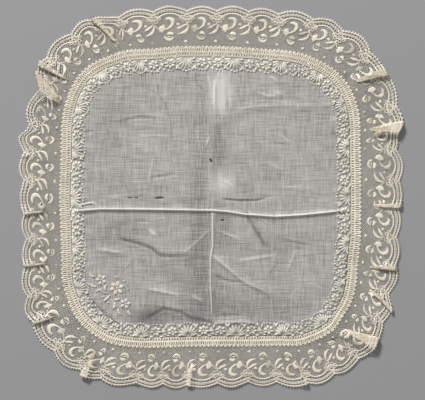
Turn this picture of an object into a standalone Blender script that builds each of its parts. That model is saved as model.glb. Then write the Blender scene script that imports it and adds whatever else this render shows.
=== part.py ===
"""A lace-edged linen handkerchief lying face up on a table.

Three sewn pieces, each one closed solid: the pressed linen centre with its fold
creases, the narrow insertion band sewn round it, and the lace edging that is
gathered round the corners and has fallen into small pleats.

The handkerchief is seen from above with +Y up the cloth and +X to its right. The
seam between band and lace is a rounded square, called the ring here. A place on
the ring is a length in mm, measured clockwise from the middle of the top side.
"Out" is the distance in mm outwards from the ring, square to it.
"""

import bmesh
import bpy
import numpy as np

MM = 0.001

# The ring: the seam line between band and lace
RING_HALF_X = 131.8
RING_HALF_Y = 132.2
RING_RADIUS = 73.9
RING_SHIFT = (0.2, -0.1)

# The pieces
SHEET = 1.0
SEAM_GAP = 0.4
BAND_WIDTH = 8.8
BAND_STEP = 4.0
LACE_WIDTH = 36.6
SCALLOP_DEPTH = 3.6
REPEATS = 45
REPEAT_LENGTH = 28.0
COLUMNS_PER_REPEAT = 4
COLUMN_CLEARANCE = 0.12
MOST_SEAM_STEP = 7.0
LACE_ROWS = (0.0, 0.13, 0.27, 0.43, 0.61, 0.8, 1.0)

# How the lace rises off the table
LAYER_PITCH = 1.35
PLEAT_LEAD = 6.5
FLAP_REST = 1.75
CREASE_LEAD = 3.6
CREASE_KNEE = 1.3
CREASE_HEIGHT = 1.9
RIPPLE_HEIGHT = 0.9
RIPPLES = (11, 17)

# The linen's grid
LINEN_STEP = 11.0
LEAST_STEP = 5.5
CORNER_ROWS = 8
RIDGE_ROWS = (-5.0, -2.0, 0.0, 2.0, 5.0)
DOWN_FOLD_X = 1.5
FOLD_PULL = 22.0
EDGE_FADE = 9.0
WOBBLE_FADE = 50.0

# Where the ring strays from the true rounded square: place, how far out
WOBBLE = (
    (0, 0.0), (70, -3.3), (92, -2.5), (116, -0.3), (132, 0.4), (176, -1.1), (232, -0.3),
    (264, -0.6), (295, -3.3), (338, 0.2), (356, 2.7), (380, 1.1), (405, -1.8), (440, -1.3),
    (465, -1.3), (528, 0.0), (563, 2.9), (581, 3.3), (616, 0.4), (642, -0.7), (669, 0.0),
    (697, 1.1), (739, -0.3), (766, -0.6), (810, 1.8), (845, -1.5), (871, -2.5), (906, 0.0),
)

# How much wider or narrower the lace lies than its usual width: place, difference
LACE_SPREAD = (
    (0, 0.0), (30, 1.0), (60, 0.3), (80, 0.4), (98, 1.8), (118, 2.4), (134, -1.2), (146, 1.0),
    (168, 3.5), (177, -2.5), (188, -0.2), (204, 2.0), (218, 2.2), (228, 0.8), (264, -0.4),
    (296, 0.6), (312, -2.0), (320, 0.8), (334, 1.2), (344, 3.2), (352, 2.2), (360, 0.3),
    (370, 2.2), (388, 1.4), (410, 0.0), (434, -0.8), (452, 0.8), (490, 0.8), (532, -1.0),
    (546, 0.5), (556, 0.4), (578, 2.0), (594, 2.4), (608, 4.0), (620, 1.2), (632, -0.4),
    (660, -1.2), (704, -0.8), (718, 1.0), (740, 1.2), (749, 2.2), (758, -3.6), (766, -2.8),
    (784, -8.0), (793, -1.0), (800, 0.5), (816, 0.0), (834, 2.4), (840, 0.8), (848, -2.4),
    (864, 0.0), (884, 1.7), (904, 0.0),
)

# Where each scallop's low point lies, counting the ones hidden in flaps: place, repeats
SPACING = (
    (5, 0), (33, 1), (59, 2), (81, 3), (101, 4), (122, 5), (159, 7), (190, 9), (218, 10),
    (241, 11), (267, 12), (293, 13), (310, 14), (328, 15), (354, 17), (371, 18), (389, 19),
    (407, 20), (432, 21), (459, 22), (484, 23), (507, 24), (528, 25), (550, 26), (582, 28),
    (602, 29), (618, 30), (638, 31), (660, 32), (684, 33), (712, 34), (736, 35), (759, 36),
    (803, 39), (823, 40), (854, 42), (878, 43), (908, 44),
)

# Pleats and creases in the lace: place at the lace's edge, place at the inner end, how
# far out the inner end is, width of the flap (0 for a plain crease), side it falls to
PLEATS = (
    (138, 133, 6, 5.5, -1),
    (172, 173, 7, 11.5, 1),
    (241, 240, 9, 0.0, 1),
    (294, 294, 9, 0.0, 1),
    (320, 310, 12, 0.0, 1),
    (340, 348, 5, 10.0, 1),
    (388, 393, 7, 0.0, 1),
    (486, 482, 15, 0.0, 1),
    (527, 533, 15, 0.0, 1),
    (560, 562, 10, 4.0, -1),
    (603, 599, 12, 0.0, 1),
    (637, 639, 10, 0.0, 1),
    (682, 685, 10, 0.0, 1),
    (733, 733, 27, 0.0, 1),
    (781, 782, 7, 12.0, 1),
    (797, 799, 12, 0.0, 1),
    (839, 850, 3, 5.6, 1),
)

# The pressed fold that crosses the linen from side to side, through (x, y)
CROSS_FOLD = (
    (-122, -12.1), (-97, -10.3), (-53, -10.7), (0, -11.6), (13, -12.5), (30, -15.1),
    (57, -16.9), (79, -15.6), (101, -13.4), (123, -10.7),
)

# Ridges in the linen: height, half width, points
RIDGES = (
    (2.2, 4.5, CROSS_FOLD),
    (1.5, 5.0, ((2, -14), (2, -43), (0, -56), (0, -108))),
    (1.4, 7.0, ((4, 112), (5, 103), (4, 79), (1, 40), (0, -8))),
    (1.0, 8.0, ((12, 106), (12, 70))),
    (1.3, 7.0, ((2, -52), (29, -74), (51, -84))),
    (0.9, 8.0, ((6, -28), (26, -37), (45, -47))),
    (1.1, 8.0, ((-82, -36), (-62, -40), (-48, -48), (-36, -52), (-17, -51))),
    (0.9, 7.0, ((-99, -46), (-76, -49))),
    (1.1, 8.0, ((-57, -80), (-27, -86), (-9, -90))),
    (1.4, 8.0, ((-62, -104), (-41, -97), (-26, -102), (-9, -107), (28, -109), (42, -111))),
    (1.0, 7.0, ((-109, -83), (-101, -94), (-88, -107), (-78, -115))),
    (1.0, 7.0, ((-124, 36), (-110, 40))),
    (1.1, 7.0, ((-123, -29), (-108, -34))),
    (1.0, 8.0, ((26, 76), (37, 80), (60, 81), (76, 80), (105, 82))),
    (0.8, 8.0, ((40, 94), (50, 89), (61, 90))),
)


def table_value(table, x, period):
    """The table's value at x: eased from each row to the next, and closed round the period."""
    places, values = np.array(table, float).T
    places = np.append(places, places[0] + period)
    values = np.append(values, values[0])
    x = np.mod(x - places[0], period) + places[0]
    row = np.clip(np.searchsorted(places, x, side="right") - 1, 0, len(places) - 2)
    along = (x - places[row]) / (places[row + 1] - places[row])
    ease = along * along * (3 - 2 * along)
    return values[row] + (values[row + 1] - values[row]) * ease


class Ring:
    """A rounded square walked clockwise from the middle of its top side.

    Every point is a core point plus a radius along the normal. The core point
    moves along the straight sides and waits at the corners, where the normal turns.
    """

    def __init__(self, half_x, half_y, radius):
        self.radius = radius
        core_x = half_x - radius
        core_y = half_y - radius
        quarter = radius * np.pi / 2
        sides = [core_x, quarter, 2 * core_y, quarter, 2 * core_x, quarter, 2 * core_y, quarter, core_x]
        self.places = np.concatenate([[0], np.cumsum(sides)])
        self.length = self.places[-1]
        self.angles = np.radians([90, 90, 0, 0, -90, -90, -180, -180, -270, -270])
        self.core_x = core_x * np.array([0, 1, 1, 1, 1, -1, -1, -1, -1, 0])
        self.core_y = core_y * np.array([1, 1, 1, -1, -1, -1, -1, 1, 1, 1])

    def point(self, place, out):
        """x and y, in mm, of the point that lies this far out at this place."""
        place = np.mod(place, self.length)
        angle = np.interp(place, self.places, self.angles)
        reach = self.radius + out + table_value(WOBBLE, place, self.length)
        x = np.interp(place, self.places, self.core_x) + reach * np.cos(angle)
        y = np.interp(place, self.places, self.core_y) + reach * np.sin(angle)
        return x + RING_SHIFT[0], y + RING_SHIFT[1]

    def bend(self, place):
        """One over the radius at this place: 0 on the straight sides."""
        place = np.mod(place, self.length)
        segment = np.searchsorted(self.places, place, side="right") - 1
        return np.where(segment % 2 == 1, 1 / self.radius, 0.0)

    def nearest(self, x, y):
        """The place nearest to a point, the normal's x and y there, and the distance from the core."""
        core_x, core_y = self.core_x[1], self.core_y[0]
        past_x, past_y = np.abs(x) - core_x, np.abs(y) - core_y
        corner = (past_x > 0) & (past_y > 0)
        tilt = np.where(past_x > past_y, 0.0, np.pi / 2)
        tilt = np.where(corner, np.arctan2(past_y, past_x), tilt)
        from_core = np.where(corner, np.hypot(past_x, past_y), np.maximum(past_x, past_y))
        normal_x = np.cos(tilt) * np.where(x < 0, -1, 1)
        normal_y = np.sin(tilt) * np.where(y < 0, -1, 1)
        arc = self.radius * (np.pi / 2 - tilt)
        along = np.where(corner, 0.0, np.where(past_x > past_y, core_y - np.abs(y), np.abs(x) - core_x))
        first_quarter = core_x + arc + along
        half_turn = self.length / 2
        place = np.where(x < 0, -first_quarter, first_quarter)
        place = np.where(y < 0, half_turn - place, place)
        return np.mod(place, self.length), normal_x, normal_y, from_core


RING = Ring(RING_HALF_X, RING_HALF_Y, RING_RADIUS)


def cloth_material(name, colour, roughness):
    material = bpy.data.materials.new(name)
    material.use_nodes = True
    shader = material.node_tree.nodes["Principled BSDF"]
    shader.inputs["Base Color"].default_value = (*colour, 1.0)
    shader.inputs["Roughness"].default_value = roughness
    shader.inputs["Metallic"].default_value = 0.0
    return material


def add_solid(name, points, faces, material):
    """A mesh object of one closed body, from points in mm, with its faces turned outwards."""
    mesh = bpy.data.meshes.new(name)
    mesh.from_pydata([tuple(point) for point in points * MM], [], faces)
    shape = bmesh.new()
    shape.from_mesh(mesh)
    bmesh.ops.recalc_face_normals(shape, faces=shape.faces)
    shape.to_mesh(mesh)
    shape.free()
    mesh.materials.append(material)
    mesh.shade_smooth()
    mesh.set_sharp_from_angle(angle=np.radians(50))
    solid = bpy.data.objects.new(name, mesh)
    bpy.context.scene.collection.objects.link(solid)
    return solid


def skin(lower, upper, closed_rows):
    """Faces between two grids of points with the same shape, and the walls that join their rims.

    The grids are (rows, columns, 3). With closed_rows, the last column is joined to the first.
    """
    rows, columns = lower.shape[:2]
    index = np.arange(rows * columns).reshape(rows, columns)
    if closed_rows:
        index = np.concatenate([index, index[:, :1]], axis=1)
    shift = rows * columns
    a, b = index[:-1, :-1], index[:-1, 1:]
    d, c = index[1:, :-1], index[1:, 1:]
    under = np.stack([a, d, c, b], axis=-1).reshape(-1, 4)
    over = np.stack([a, b, c, d], axis=-1).reshape(-1, 4) + shift
    rims = [index[0], index[-1][::-1]]
    if not closed_rows:
        back = [index[-1][-2::-1], index[-2:0:-1, 0], index[0][:1]]
        rims = [np.concatenate([index[0], index[1:, -1], *back])]
    walls = [np.stack([r[:-1], r[1:], r[1:] + shift, r[:-1] + shift], axis=-1) for r in rims]
    faces = np.concatenate([under, over] + walls)
    points = np.concatenate([lower.reshape(-1, 3), upper.reshape(-1, 3)])
    return points, [tuple(int(i) for i in face) for face in faces]


def distance_to_line(x, y, line):
    """The distance from each point to the nearest of the line's stretches."""
    nearest = np.full(x.shape, np.inf)
    for (ax, ay), (bx, by) in zip(line[:-1], line[1:]):
        run_x, run_y = bx - ax, by - ay
        along = ((x - ax) * run_x + (y - ay) * run_y) / (run_x**2 + run_y**2)
        along = np.clip(along, 0, 1)
        nearest = np.minimum(nearest, np.hypot(x - ax - along * run_x, y - ay - along * run_y))
    return nearest


def linen_height(x, y):
    """The linen's rise over the table: a rounded bell across each ridge, the highest one counting."""
    height = np.zeros(x.shape)
    for top, half_width, line in RIDGES:
        off = np.clip(distance_to_line(x, y, line) / half_width, 0, 1)
        height = np.maximum(height, top * (1 - off**2) ** 2)
    return height


def build_linen():
    """The linen: rows across the rounded square, gathered round the cross fold, lifted into ridges."""
    inset = BAND_WIDTH + SEAM_GAP
    radius = RING_RADIUS - inset
    core_x = RING_HALF_X - RING_RADIUS
    core_y = RING_HALF_Y - RING_RADIUS
    corner = core_y + radius * np.sin(np.linspace(0, np.pi / 2, CORNER_ROWS + 1))
    fold_y = np.mean([y for _, y in CROSS_FOLD])
    near_fold = fold_y + np.array(RIDGE_ROWS)
    above = np.arange(core_y, near_fold[-1] + LEAST_STEP, -LINEN_STEP)[1:]
    below = np.arange(-core_y, near_fold[0] - LEAST_STEP, LINEN_STEP)[1:]
    rows = np.sort(np.concatenate([corner, -corner, above, below, near_fold]))
    over_corner = np.clip(np.abs(rows) - core_y, 0, None)
    half = core_x + np.sqrt(np.clip(radius**2 - over_corner**2, 0, None))

    edge = RING_HALF_X - inset
    side = np.append(np.arange(LINEN_STEP, edge - LEAST_STEP, LINEN_STEP), edge)
    across = np.concatenate([-side[::-1], DOWN_FOLD_X + np.array(RIDGE_ROWS), side]) / edge
    x = half[:, None] * across[None, :]
    y = np.repeat(rows[:, None], len(across), axis=1)

    # Rows near the cross fold follow its wave
    fold_x, wave = np.array(CROSS_FOLD).T
    y = y + (np.interp(x, fold_x, wave) - fold_y) * np.exp(-(((y - fold_y) / FOLD_PULL) ** 2))

    # The outline strays with the ring, less and less towards the middle
    place, normal_x, normal_y, from_core = RING.nearest(x, y)
    depth = radius - from_core
    fade = np.clip(1 - depth / WOBBLE_FADE, 0, 1)
    stray = table_value(WOBBLE, place, RING.length) * fade * fade * (3 - 2 * fade)
    x = x + normal_x * stray
    y = y + normal_y * stray

    flat_rim = np.clip(depth / EDGE_FADE, 0, 1)
    z = linen_height(x, y) * flat_rim * flat_rim * (3 - 2 * flat_rim)
    lower = np.stack([x + RING_SHIFT[0], y + RING_SHIFT[1], z], axis=-1)
    upper = lower + np.array([0, 0, SHEET])
    points, faces = skin(lower, upper, closed_rows=False)
    return add_solid("linen_centre", points, faces, cloth_material("linen", (0.39, 0.37, 0.34), 0.85))


def build_band():
    """The insertion band: a flat strip with a square section, carried round the ring's inner side."""
    count = int(RING.length / BAND_STEP)
    place = np.linspace(0, RING.length, count, endpoint=False)
    edges = [RING.point(place, out) for out in (-BAND_WIDTH, 0.0)]
    lower = np.stack([np.stack([x, y, np.zeros(count)], axis=-1) for x, y in edges])
    upper = lower + np.array([0, 0, SHEET])
    points, faces = skin(lower, upper, closed_rows=True)
    colour = cloth_material("band", (0.58, 0.53, 0.42), 0.8)
    return add_solid("insertion_band", points, faces, colour)


def crease_section():
    """A plain crease seen end on, as (along, height) arrays: one low ridge."""
    along = np.array([-CREASE_LEAD, -CREASE_KNEE, 0, CREASE_KNEE, CREASE_LEAD])
    return along, np.array([0, 0.5, 1, 0.5, 0]) * CREASE_HEIGHT


def flap_section(width, folded):
    """A flap seen end on, as (along, height) arrays: three layers back and forth.

    Where it isn't folded yet, the same cloth stands up as a low wall.
    """
    half, pitch = width / 2, LAYER_PITCH
    if folded:
        along = [half, half + pitch / 2, half, -half, -half - pitch / 2, -half, half + FLAP_REST]
        height = [0, 0.5, 1, 1, 1.5, 2, 2]
    else:
        along = [0, 0, 0.05, 0.05, 0.1, 0.1, FLAP_REST]
        height = [0, 0.4, 0.7, 1.3, 1.6, 2, 2]
    along = np.array([-half - PLEAT_LEAD, *along, half + PLEAT_LEAD])
    return along, np.array([0, *height, 0]) * pitch


def cloth_passed(place):
    """Repeats of lace sewn on by this place, without those hidden in flaps."""
    places, shown = [], []
    for row_place, repeats in (*SPACING, (SPACING[0][0] + RING.length, REPEATS)):
        before = [hidden for pleat, hidden in zip(PLEATS, hidden_repeats()) if pleat[1] < row_place]
        places.append(row_place)
        shown.append(repeats - sum(before))
    return np.interp(place, places, shown)


def hidden_repeats():
    """Repeats of lace that each pleat hides under its flap."""
    return [2 * width / REPEAT_LENGTH for _, _, _, width, _ in PLEATS]


def pleat_knots(share):
    """Each pleat's knots at this share of the lace's width, as (repeats, place, height) arrays.

    Inside its inner end a pleat is flat. On the next row out a flap stands up as a
    wall, and from there to the edge it lies folded, wider and wider. The knots divide
    the cloth as they divide the section's length, so that its pattern isn't stretched.
    """
    out = share * LACE_WIDTH
    passed = 0.0
    knots = []
    for (edge_place, inner_place, inner_out, width, side), hidden in zip(PLEATS, hidden_repeats()):
        reach = (out - inner_out) / (LACE_WIDTH - inner_out)
        rows_past = sum(inner_out < row * LACE_WIDTH <= out + 1e-6 for row in LACE_ROWS)
        centre = inner_place + (edge_place - inner_place) * np.clip(reach, -0.3, 1)
        flap = width * np.clip(reach, 0, 1)
        along, height = flap_section(flap, rows_past > 1) if width else crease_section()
        length = np.concatenate([[0], np.cumsum(np.hypot(np.diff(along), np.diff(height)))])
        step = 2 * length / length[-1] - 1
        if rows_past == 0:
            along = np.interp(step, [-1, 1], [along[0], along[-1]])
            height = height * 0
        half_cloth = (along[-1] - along[0] + 2 * flap) / 2 / REPEAT_LENGTH
        if side < 0:
            step, along, height = -step[::-1], -along[::-1], height[::-1]
        middle = cloth_passed(centre) + passed + hidden / 2
        shrink = 1 / (1 + RING.bend(centre) * out)
        knots.append((middle + step * half_cloth, centre + along * shrink, height))
        passed += hidden
    return knots


def spacing_knots(knots):
    """The spacing table's rows that lie clear of every pleat, as (repeats, place) arrays."""
    rows = []
    for place, repeats in SPACING:
        clear = all(
            (repeats < cloth[0] or repeats > cloth[-1]) and (place < along[0] or place > along[-1])
            for row in knots
            for cloth, along, _ in row
        )
        if clear:
            rows.append((repeats, place))
    return np.array(rows, float).T


def free_columns(knots):
    """The columns between the pleats, as (stretch, share of it passed) arrays.

    At the edge they are quarters of a repeat. Where the pleats leave too few of them,
    columns spaced evenly along the seam fill the stretch.
    """
    columns = []
    count = len(PLEATS)
    for stretch in range(count):
        lap = (stretch + 1) // count
        following = (stretch + 1) % count
        edge_start = knots[-1][stretch][0][-1]
        edge_length = knots[-1][following][0][0] + lap * REPEATS - edge_start
        first = np.ceil(edge_start * COLUMNS_PER_REPEAT)
        quarters = np.arange(first, (edge_start + edge_length) * COLUMNS_PER_REPEAT) / COLUMNS_PER_REPEAT
        shares = (quarters - edge_start) / edge_length
        clear = COLUMN_CLEARANCE / edge_length
        shares = shares[(shares > clear) & (shares < 1 - clear)]
        seam_length = knots[0][following][1][0] + lap * RING.length - knots[0][stretch][1][-1]
        needed = int(np.ceil(seam_length / MOST_SEAM_STEP))
        even = np.arange(1, needed) / needed
        if len(shares):
            even = even[[min(abs(shares - share)) > 0.55 / needed for share in even]]
        shares = np.sort(np.concatenate([shares, even]))
        columns += [(stretch, share) for share in shares]
    stretch, share = np.array(columns).T
    return stretch.astype(int), share


def lace_point_grid():
    """The lace's middle surface as (rows, columns, 3) points in mm.

    Its columns are the pleats' own knots and the free columns between them. Its rows
    run from the seam out to the scalloped edge.
    """
    knots = [pleat_knots(share) for share in LACE_ROWS]
    stretch, share_passed = free_columns(knots)
    station_repeats, station_places = spacing_knots(knots)
    rows = []
    for row in knots:
        starts = np.array([pleat[0][0] for pleat in row])
        ends = np.array([pleat[0][-1] for pleat in row])
        next_starts = np.append(starts[1:], starts[0] + REPEATS)
        repeats, place, height = (np.concatenate(parts) for parts in zip(*row))
        known = np.concatenate([repeats, station_repeats])
        known_place = np.concatenate([place, station_places])
        sort = np.argsort(known)
        known = np.concatenate([known[sort], known[sort] + REPEATS])
        known_place = np.concatenate([known_place[sort], known_place[sort] + RING.length])
        between = ends[stretch] + share_passed * (next_starts - ends)[stretch]
        place = np.concatenate([place, np.interp(between, known, known_place)])
        repeats = np.concatenate([repeats, between])
        height = np.concatenate([height, np.zeros(len(between))])
        rows.append((repeats, place, height))
    order = np.argsort(rows[-1][0], kind="stable")
    rows = [tuple(part[order] for part in row) for row in rows]
    return np.stack([lace_row(share, *row) for share, row in zip(LACE_ROWS, rows)])


def lace_row(share, repeats, place, height):
    """One row of the lace: its distance out with the scallops, and its height with the ripples."""
    scallop = SCALLOP_DEPTH * (1 - np.abs(np.sin(np.pi * repeats))) if share == 1 else 0
    spread = table_value(LACE_SPREAD, place, RING.length)
    x, y = RING.point(place, SEAM_GAP + share * (LACE_WIDTH + spread) - scallop)
    turn = 2 * np.pi * place / RING.length
    ripple = sum(1 + np.sin(turn * count) for count in RIPPLES) / (2 * len(RIPPLES))
    z = SHEET / 2 + height + RIPPLE_HEIGHT * ripple * share**2
    return np.stack([x, y, z], axis=-1)


def build_lace():
    """The lace: one strip joined in a ring, given its thickness to both sides of its middle surface."""
    middle = lace_point_grid()
    up = sheet_normals(middle)
    lower = middle - up * SHEET / 2
    upper = middle + up * SHEET / 2
    lower[..., 2] = np.clip(lower[..., 2], 0, None)
    points, faces = skin(lower, upper, closed_rows=True)
    return add_solid("lace_edging", points, faces, cloth_material("lace", (0.35, 0.32, 0.26), 0.85))


def unit(vectors):
    return vectors / np.linalg.norm(vectors, axis=-1, keepdims=True)


def sheet_normals(middle):
    """Normals of a closed strip of points: across the run of its columns, and across its rows."""
    ahead = unit(np.roll(middle, -1, axis=1) - middle)
    run = unit(ahead + np.roll(ahead, 1, axis=1))
    rise = np.gradient(middle, axis=0)
    return unit(np.cross(run, rise))


def clear_scene():
    for thing in list(bpy.data.objects):
        bpy.data.objects.remove(thing, do_unlink=True)


def main():
    clear_scene()
    build_linen()
    build_band()
    build_lace()


main()
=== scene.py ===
# %% [markdown]
# # A lace-edged linen handkerchief
#
# The real thing is three sewn pieces lying flat on a table: a square of fine linen
# with pressed creases and white embroidery round its border, a narrow ladder
# insertion sewn round it, and a strip of scalloped lace gathered round the corners.
#
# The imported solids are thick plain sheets. Here each one is replaced by the real
# thing's threads: the lace is net, bands and motifs, the insertion is rails and
# rungs, and the linen is a thin creased sheet. They could be pictures on a plane,
# but then the gaps, the raised stitches and the folds would be flat. All of them
# are laid on the same folds as the solids, so that nothing moves.

import bpy
import numpy as np
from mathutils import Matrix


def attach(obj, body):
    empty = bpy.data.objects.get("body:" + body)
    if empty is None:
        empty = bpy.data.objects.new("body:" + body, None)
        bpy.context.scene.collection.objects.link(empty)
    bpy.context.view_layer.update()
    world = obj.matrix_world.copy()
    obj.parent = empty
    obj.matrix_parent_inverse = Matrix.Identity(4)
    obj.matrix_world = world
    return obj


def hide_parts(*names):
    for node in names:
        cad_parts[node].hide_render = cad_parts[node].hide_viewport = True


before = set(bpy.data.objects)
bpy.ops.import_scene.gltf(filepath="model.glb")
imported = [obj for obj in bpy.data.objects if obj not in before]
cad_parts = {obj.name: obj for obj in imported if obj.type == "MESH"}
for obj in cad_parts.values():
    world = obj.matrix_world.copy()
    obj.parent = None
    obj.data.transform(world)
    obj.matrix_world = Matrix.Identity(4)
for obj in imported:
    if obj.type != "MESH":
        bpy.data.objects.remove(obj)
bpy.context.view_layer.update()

MM = 0.001

# %% [markdown]
# ## The ring
#
# The seam between the insertion and the lace is a rounded square, which never lies
# quite true. Everything sewn is laid out by two measures: a place along that seam,
# clockwise from the middle of the top side, and how far out from it. The seam could
# be drawn as a curve object, but a short function of numpy arrays gives any number
# of points at once.

# %% The seam's sizes, in mm
RING_HALF_X = 131.8
RING_HALF_Y = 132.2
RING_RADIUS = 73.9
RING_SHIFT = (0.2, -0.1)

# Where the ring strays from the true rounded square: place, how far out
WOBBLE = (
    (0, 0.0), (70, -3.3), (92, -2.5), (116, -0.3), (132, 0.4), (176, -1.1), (232, -0.3),
    (264, -0.6), (295, -3.3), (338, 0.2), (356, 2.7), (380, 1.1), (405, -1.8), (440, -1.3),
    (465, -1.3), (528, 0.0), (563, 2.9), (581, 3.3), (616, 0.4), (642, -0.7), (669, 0.0),
    (697, 1.1), (739, -0.3), (766, -0.6), (810, 1.8), (845, -1.5), (871, -2.5), (906, 0.0),
)


def table_value(table, x, period):
    """The table's value at x: eased from each row to the next, and closed round the period."""
    places, values = np.array(table, float).T
    places = np.append(places, places[0] + period)
    values = np.append(values, values[0])
    x = np.mod(x - places[0], period) + places[0]
    row = np.clip(np.searchsorted(places, x, side="right") - 1, 0, len(places) - 2)
    along = (x - places[row]) / (places[row + 1] - places[row])
    ease = along * along * (3 - 2 * along)
    return values[row] + (values[row + 1] - values[row]) * ease


# %% The seam as a function
CORE_X = RING_HALF_X - RING_RADIUS
CORE_Y = RING_HALF_Y - RING_RADIUS
QUARTER = RING_RADIUS * np.pi / 2
RING_RUNS = np.array([CORE_X, QUARTER, 2 * CORE_Y, QUARTER, 2 * CORE_X, QUARTER, 2 * CORE_Y, QUARTER, CORE_X])
RING_PLACES = np.concatenate([[0], np.cumsum(RING_RUNS)])
RING_LENGTH = RING_PLACES[-1]
RING_ANGLES = np.radians([90, 90, 0, 0, -90, -90, -180, -180, -270, -270])
RING_CORE_X = CORE_X * np.array([0, 1, 1, 1, 1, -1, -1, -1, -1, 0])
RING_CORE_Y = CORE_Y * np.array([1, 1, 1, -1, -1, -1, -1, 1, 1, 1])


def ring_point(place, out):
    """x and y of a point of the seam, moved out: a core point that waits at the corners, plus a reach
    along the normal, which turns there."""
    place = np.mod(place, RING_LENGTH)
    angle = np.interp(place, RING_PLACES, RING_ANGLES)
    reach = RING_RADIUS + out + table_value(WOBBLE, place, RING_LENGTH)
    x = np.interp(place, RING_PLACES, RING_CORE_X) + reach * np.cos(angle)
    y = np.interp(place, RING_PLACES, RING_CORE_Y) + reach * np.sin(angle)
    return x, y


def ring_bend(place):
    """One over the radius at this place: 0 on the straight sides."""
    segment = np.searchsorted(RING_PLACES, np.mod(place, RING_LENGTH), side="right") - 1
    return np.where(segment % 2 == 1, 1 / RING_RADIUS, 0.0)


def ring_nearest(x, y):
    """The place nearest to a point, the normal's x and y there, and the distance from the core."""
    past_x, past_y = np.abs(x) - CORE_X, np.abs(y) - CORE_Y
    corner = (past_x > 0) & (past_y > 0)
    tilt = np.where(past_x > past_y, 0.0, np.pi / 2)
    tilt = np.where(corner, np.arctan2(past_y, past_x), tilt)
    from_core = np.where(corner, np.hypot(past_x, past_y), np.maximum(past_x, past_y))
    normal_x = np.cos(tilt) * np.where(x < 0, -1, 1)
    normal_y = np.sin(tilt) * np.where(y < 0, -1, 1)
    arc = RING_RADIUS * (np.pi / 2 - tilt)
    side_run = np.where(past_x > past_y, CORE_Y - np.abs(y), np.abs(x) - CORE_X)
    first_quarter = CORE_X + arc + np.where(corner, 0.0, side_run)
    place = np.where(x < 0, -first_quarter, first_quarter)
    place = np.where(y < 0, RING_LENGTH / 2 - place, place)
    return np.mod(place, RING_LENGTH), normal_x, normal_y, from_core


print(f"the seam is {RING_LENGTH:.0f} mm round")

# %% [markdown]
# ## Threads and strokes
#
# Every sewn or woven detail here is a stroke: a path with a width and a little
# height, like a stitch. It could be a curve with a bevel, but thousands of curves
# are slow, and each has to lie on a folded cloth. So one function carries a small
# section along many paths at once, in the flat pattern, and a surface function then
# lays each of its points on the cloth.

# %% Sweeping a section along many paths
CROWN = np.array([(-1.0, 0.0), (1.0, 0.0), (0.55, 1.0), (-0.55, 1.0)])
THREAD = np.array([(-1.0, 0.0), (1.0, 0.0), (0.0, 1.0)])


def smooth_path(points, stations, closed=False):
    """A curve through the points, at evenly spaced stations: each stretch is the cubic whose slope at
    a point is half the way between its neighbours (Catmull and Rom's rule)."""
    points = np.array(points, float)
    count = len(points)
    if closed:
        ring = np.concatenate([points[-1:], points, points[:2]])
        at = np.linspace(0, count, stations, endpoint=False)
    else:
        ring = np.concatenate([points[:1], points, points[-1:]])
        at = np.linspace(0, count - 1, stations)
    row = np.minimum(at.astype(int), count - (0 if closed else 1) - 1)
    t = (at - row)[:, None]
    a, b, c, d = (ring[row + k] for k in range(4))
    return 0.5 * (2 * b + (c - a) * t + (2 * a - 5 * b + 4 * c - d) * t**2 + (3 * b - a - 3 * c + d) * t**3)


def sweep(path, half_width, rise, surface, base=0.0, section=CROWN, closed=False, lap=0.0):
    """Points (bodies, stations, section, 3): the section, scaled by half width and rise, set square to
    each path in the pattern, and laid on the surface. A path that closes after a whole lap of the
    pattern has that lap taken off the step over its end."""
    if closed:
        ahead = np.roll(path, -1, axis=1) - np.roll(path, 1, axis=1)
        ahead[:, [0, -1], 0] += lap
    else:
        ahead = np.gradient(path, axis=1)
    tangent = ahead / np.maximum(np.linalg.norm(ahead, axis=-1, keepdims=True), 1e-9)
    side = np.stack([-tangent[..., 1], tangent[..., 0]], axis=-1)
    half_width = np.broadcast_to(half_width, path.shape[:2])
    rise = np.broadcast_to(rise, path.shape[:2])
    spread = side[:, :, None, :] * (half_width[:, :, None] * section[:, 0])[..., None]
    spots = path[:, :, None, :] + spread
    lift = base + rise[:, :, None] * section[:, 1]
    return surface(spots[..., 0], spots[..., 1], lift)


def sweep_faces(shape, closed):
    """Walls between stations, all round the section, and a cap at each end of an open path."""
    bodies, stations, section = shape
    index = np.arange(bodies * stations * section).reshape(shape)
    ahead = np.roll(index, -1, axis=1) if closed else index[:, 1:]
    here = index if closed else index[:, :-1]
    walls = np.stack([here, np.roll(here, -1, axis=2), np.roll(ahead, -1, axis=2), ahead], axis=-1)
    faces = [walls.reshape(-1, 4)]
    if not closed:
        faces += [index[:, 0, ::-1], index[:, -1]]
    return faces


# %% Making a mesh piece from whole arrays
class Piece:
    """Gathers swept strokes, each with its tone, and makes one object of them."""

    def __init__(self):
        self.points, self.faces, self.notes, self.count = [], [], [], 0

    def add(self, points, closed=False, tone=0.5):
        """Adds swept points. Their attribute holds the length along the path in mm, the share round
        the section, and the tone of their body."""
        bodies, stations, section = points.shape[:3]
        steps = np.linalg.norm(np.diff(points[:, :, 0], axis=1), axis=-1)
        along = np.concatenate([np.zeros((bodies, 1)), np.cumsum(steps, axis=1)], axis=1)
        note = np.empty(points.shape)
        note[..., 0] = along[:, :, None]
        note[..., 1] = np.arange(section) / section
        note[..., 2] = np.broadcast_to(tone, bodies)[:, None, None]
        self.faces += [face + self.count for face in sweep_faces(points.shape[:3], closed)]
        self.points.append(points.reshape(-1, 3))
        self.notes.append(note.reshape(-1, 3))
        self.count += bodies * stations * section

    def make(self, name, material, slot):
        """The object: its mesh in metres, moved with the ring, riding on the handkerchief's body."""
        piece = mesh_object(name, np.concatenate(self.points), self.faces, material)
        note = piece.data.attributes.new("stitch", "FLOAT_VECTOR", "POINT")
        note.data.foreach_set("vector", np.concatenate(self.notes).ravel())
        return piece


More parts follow.
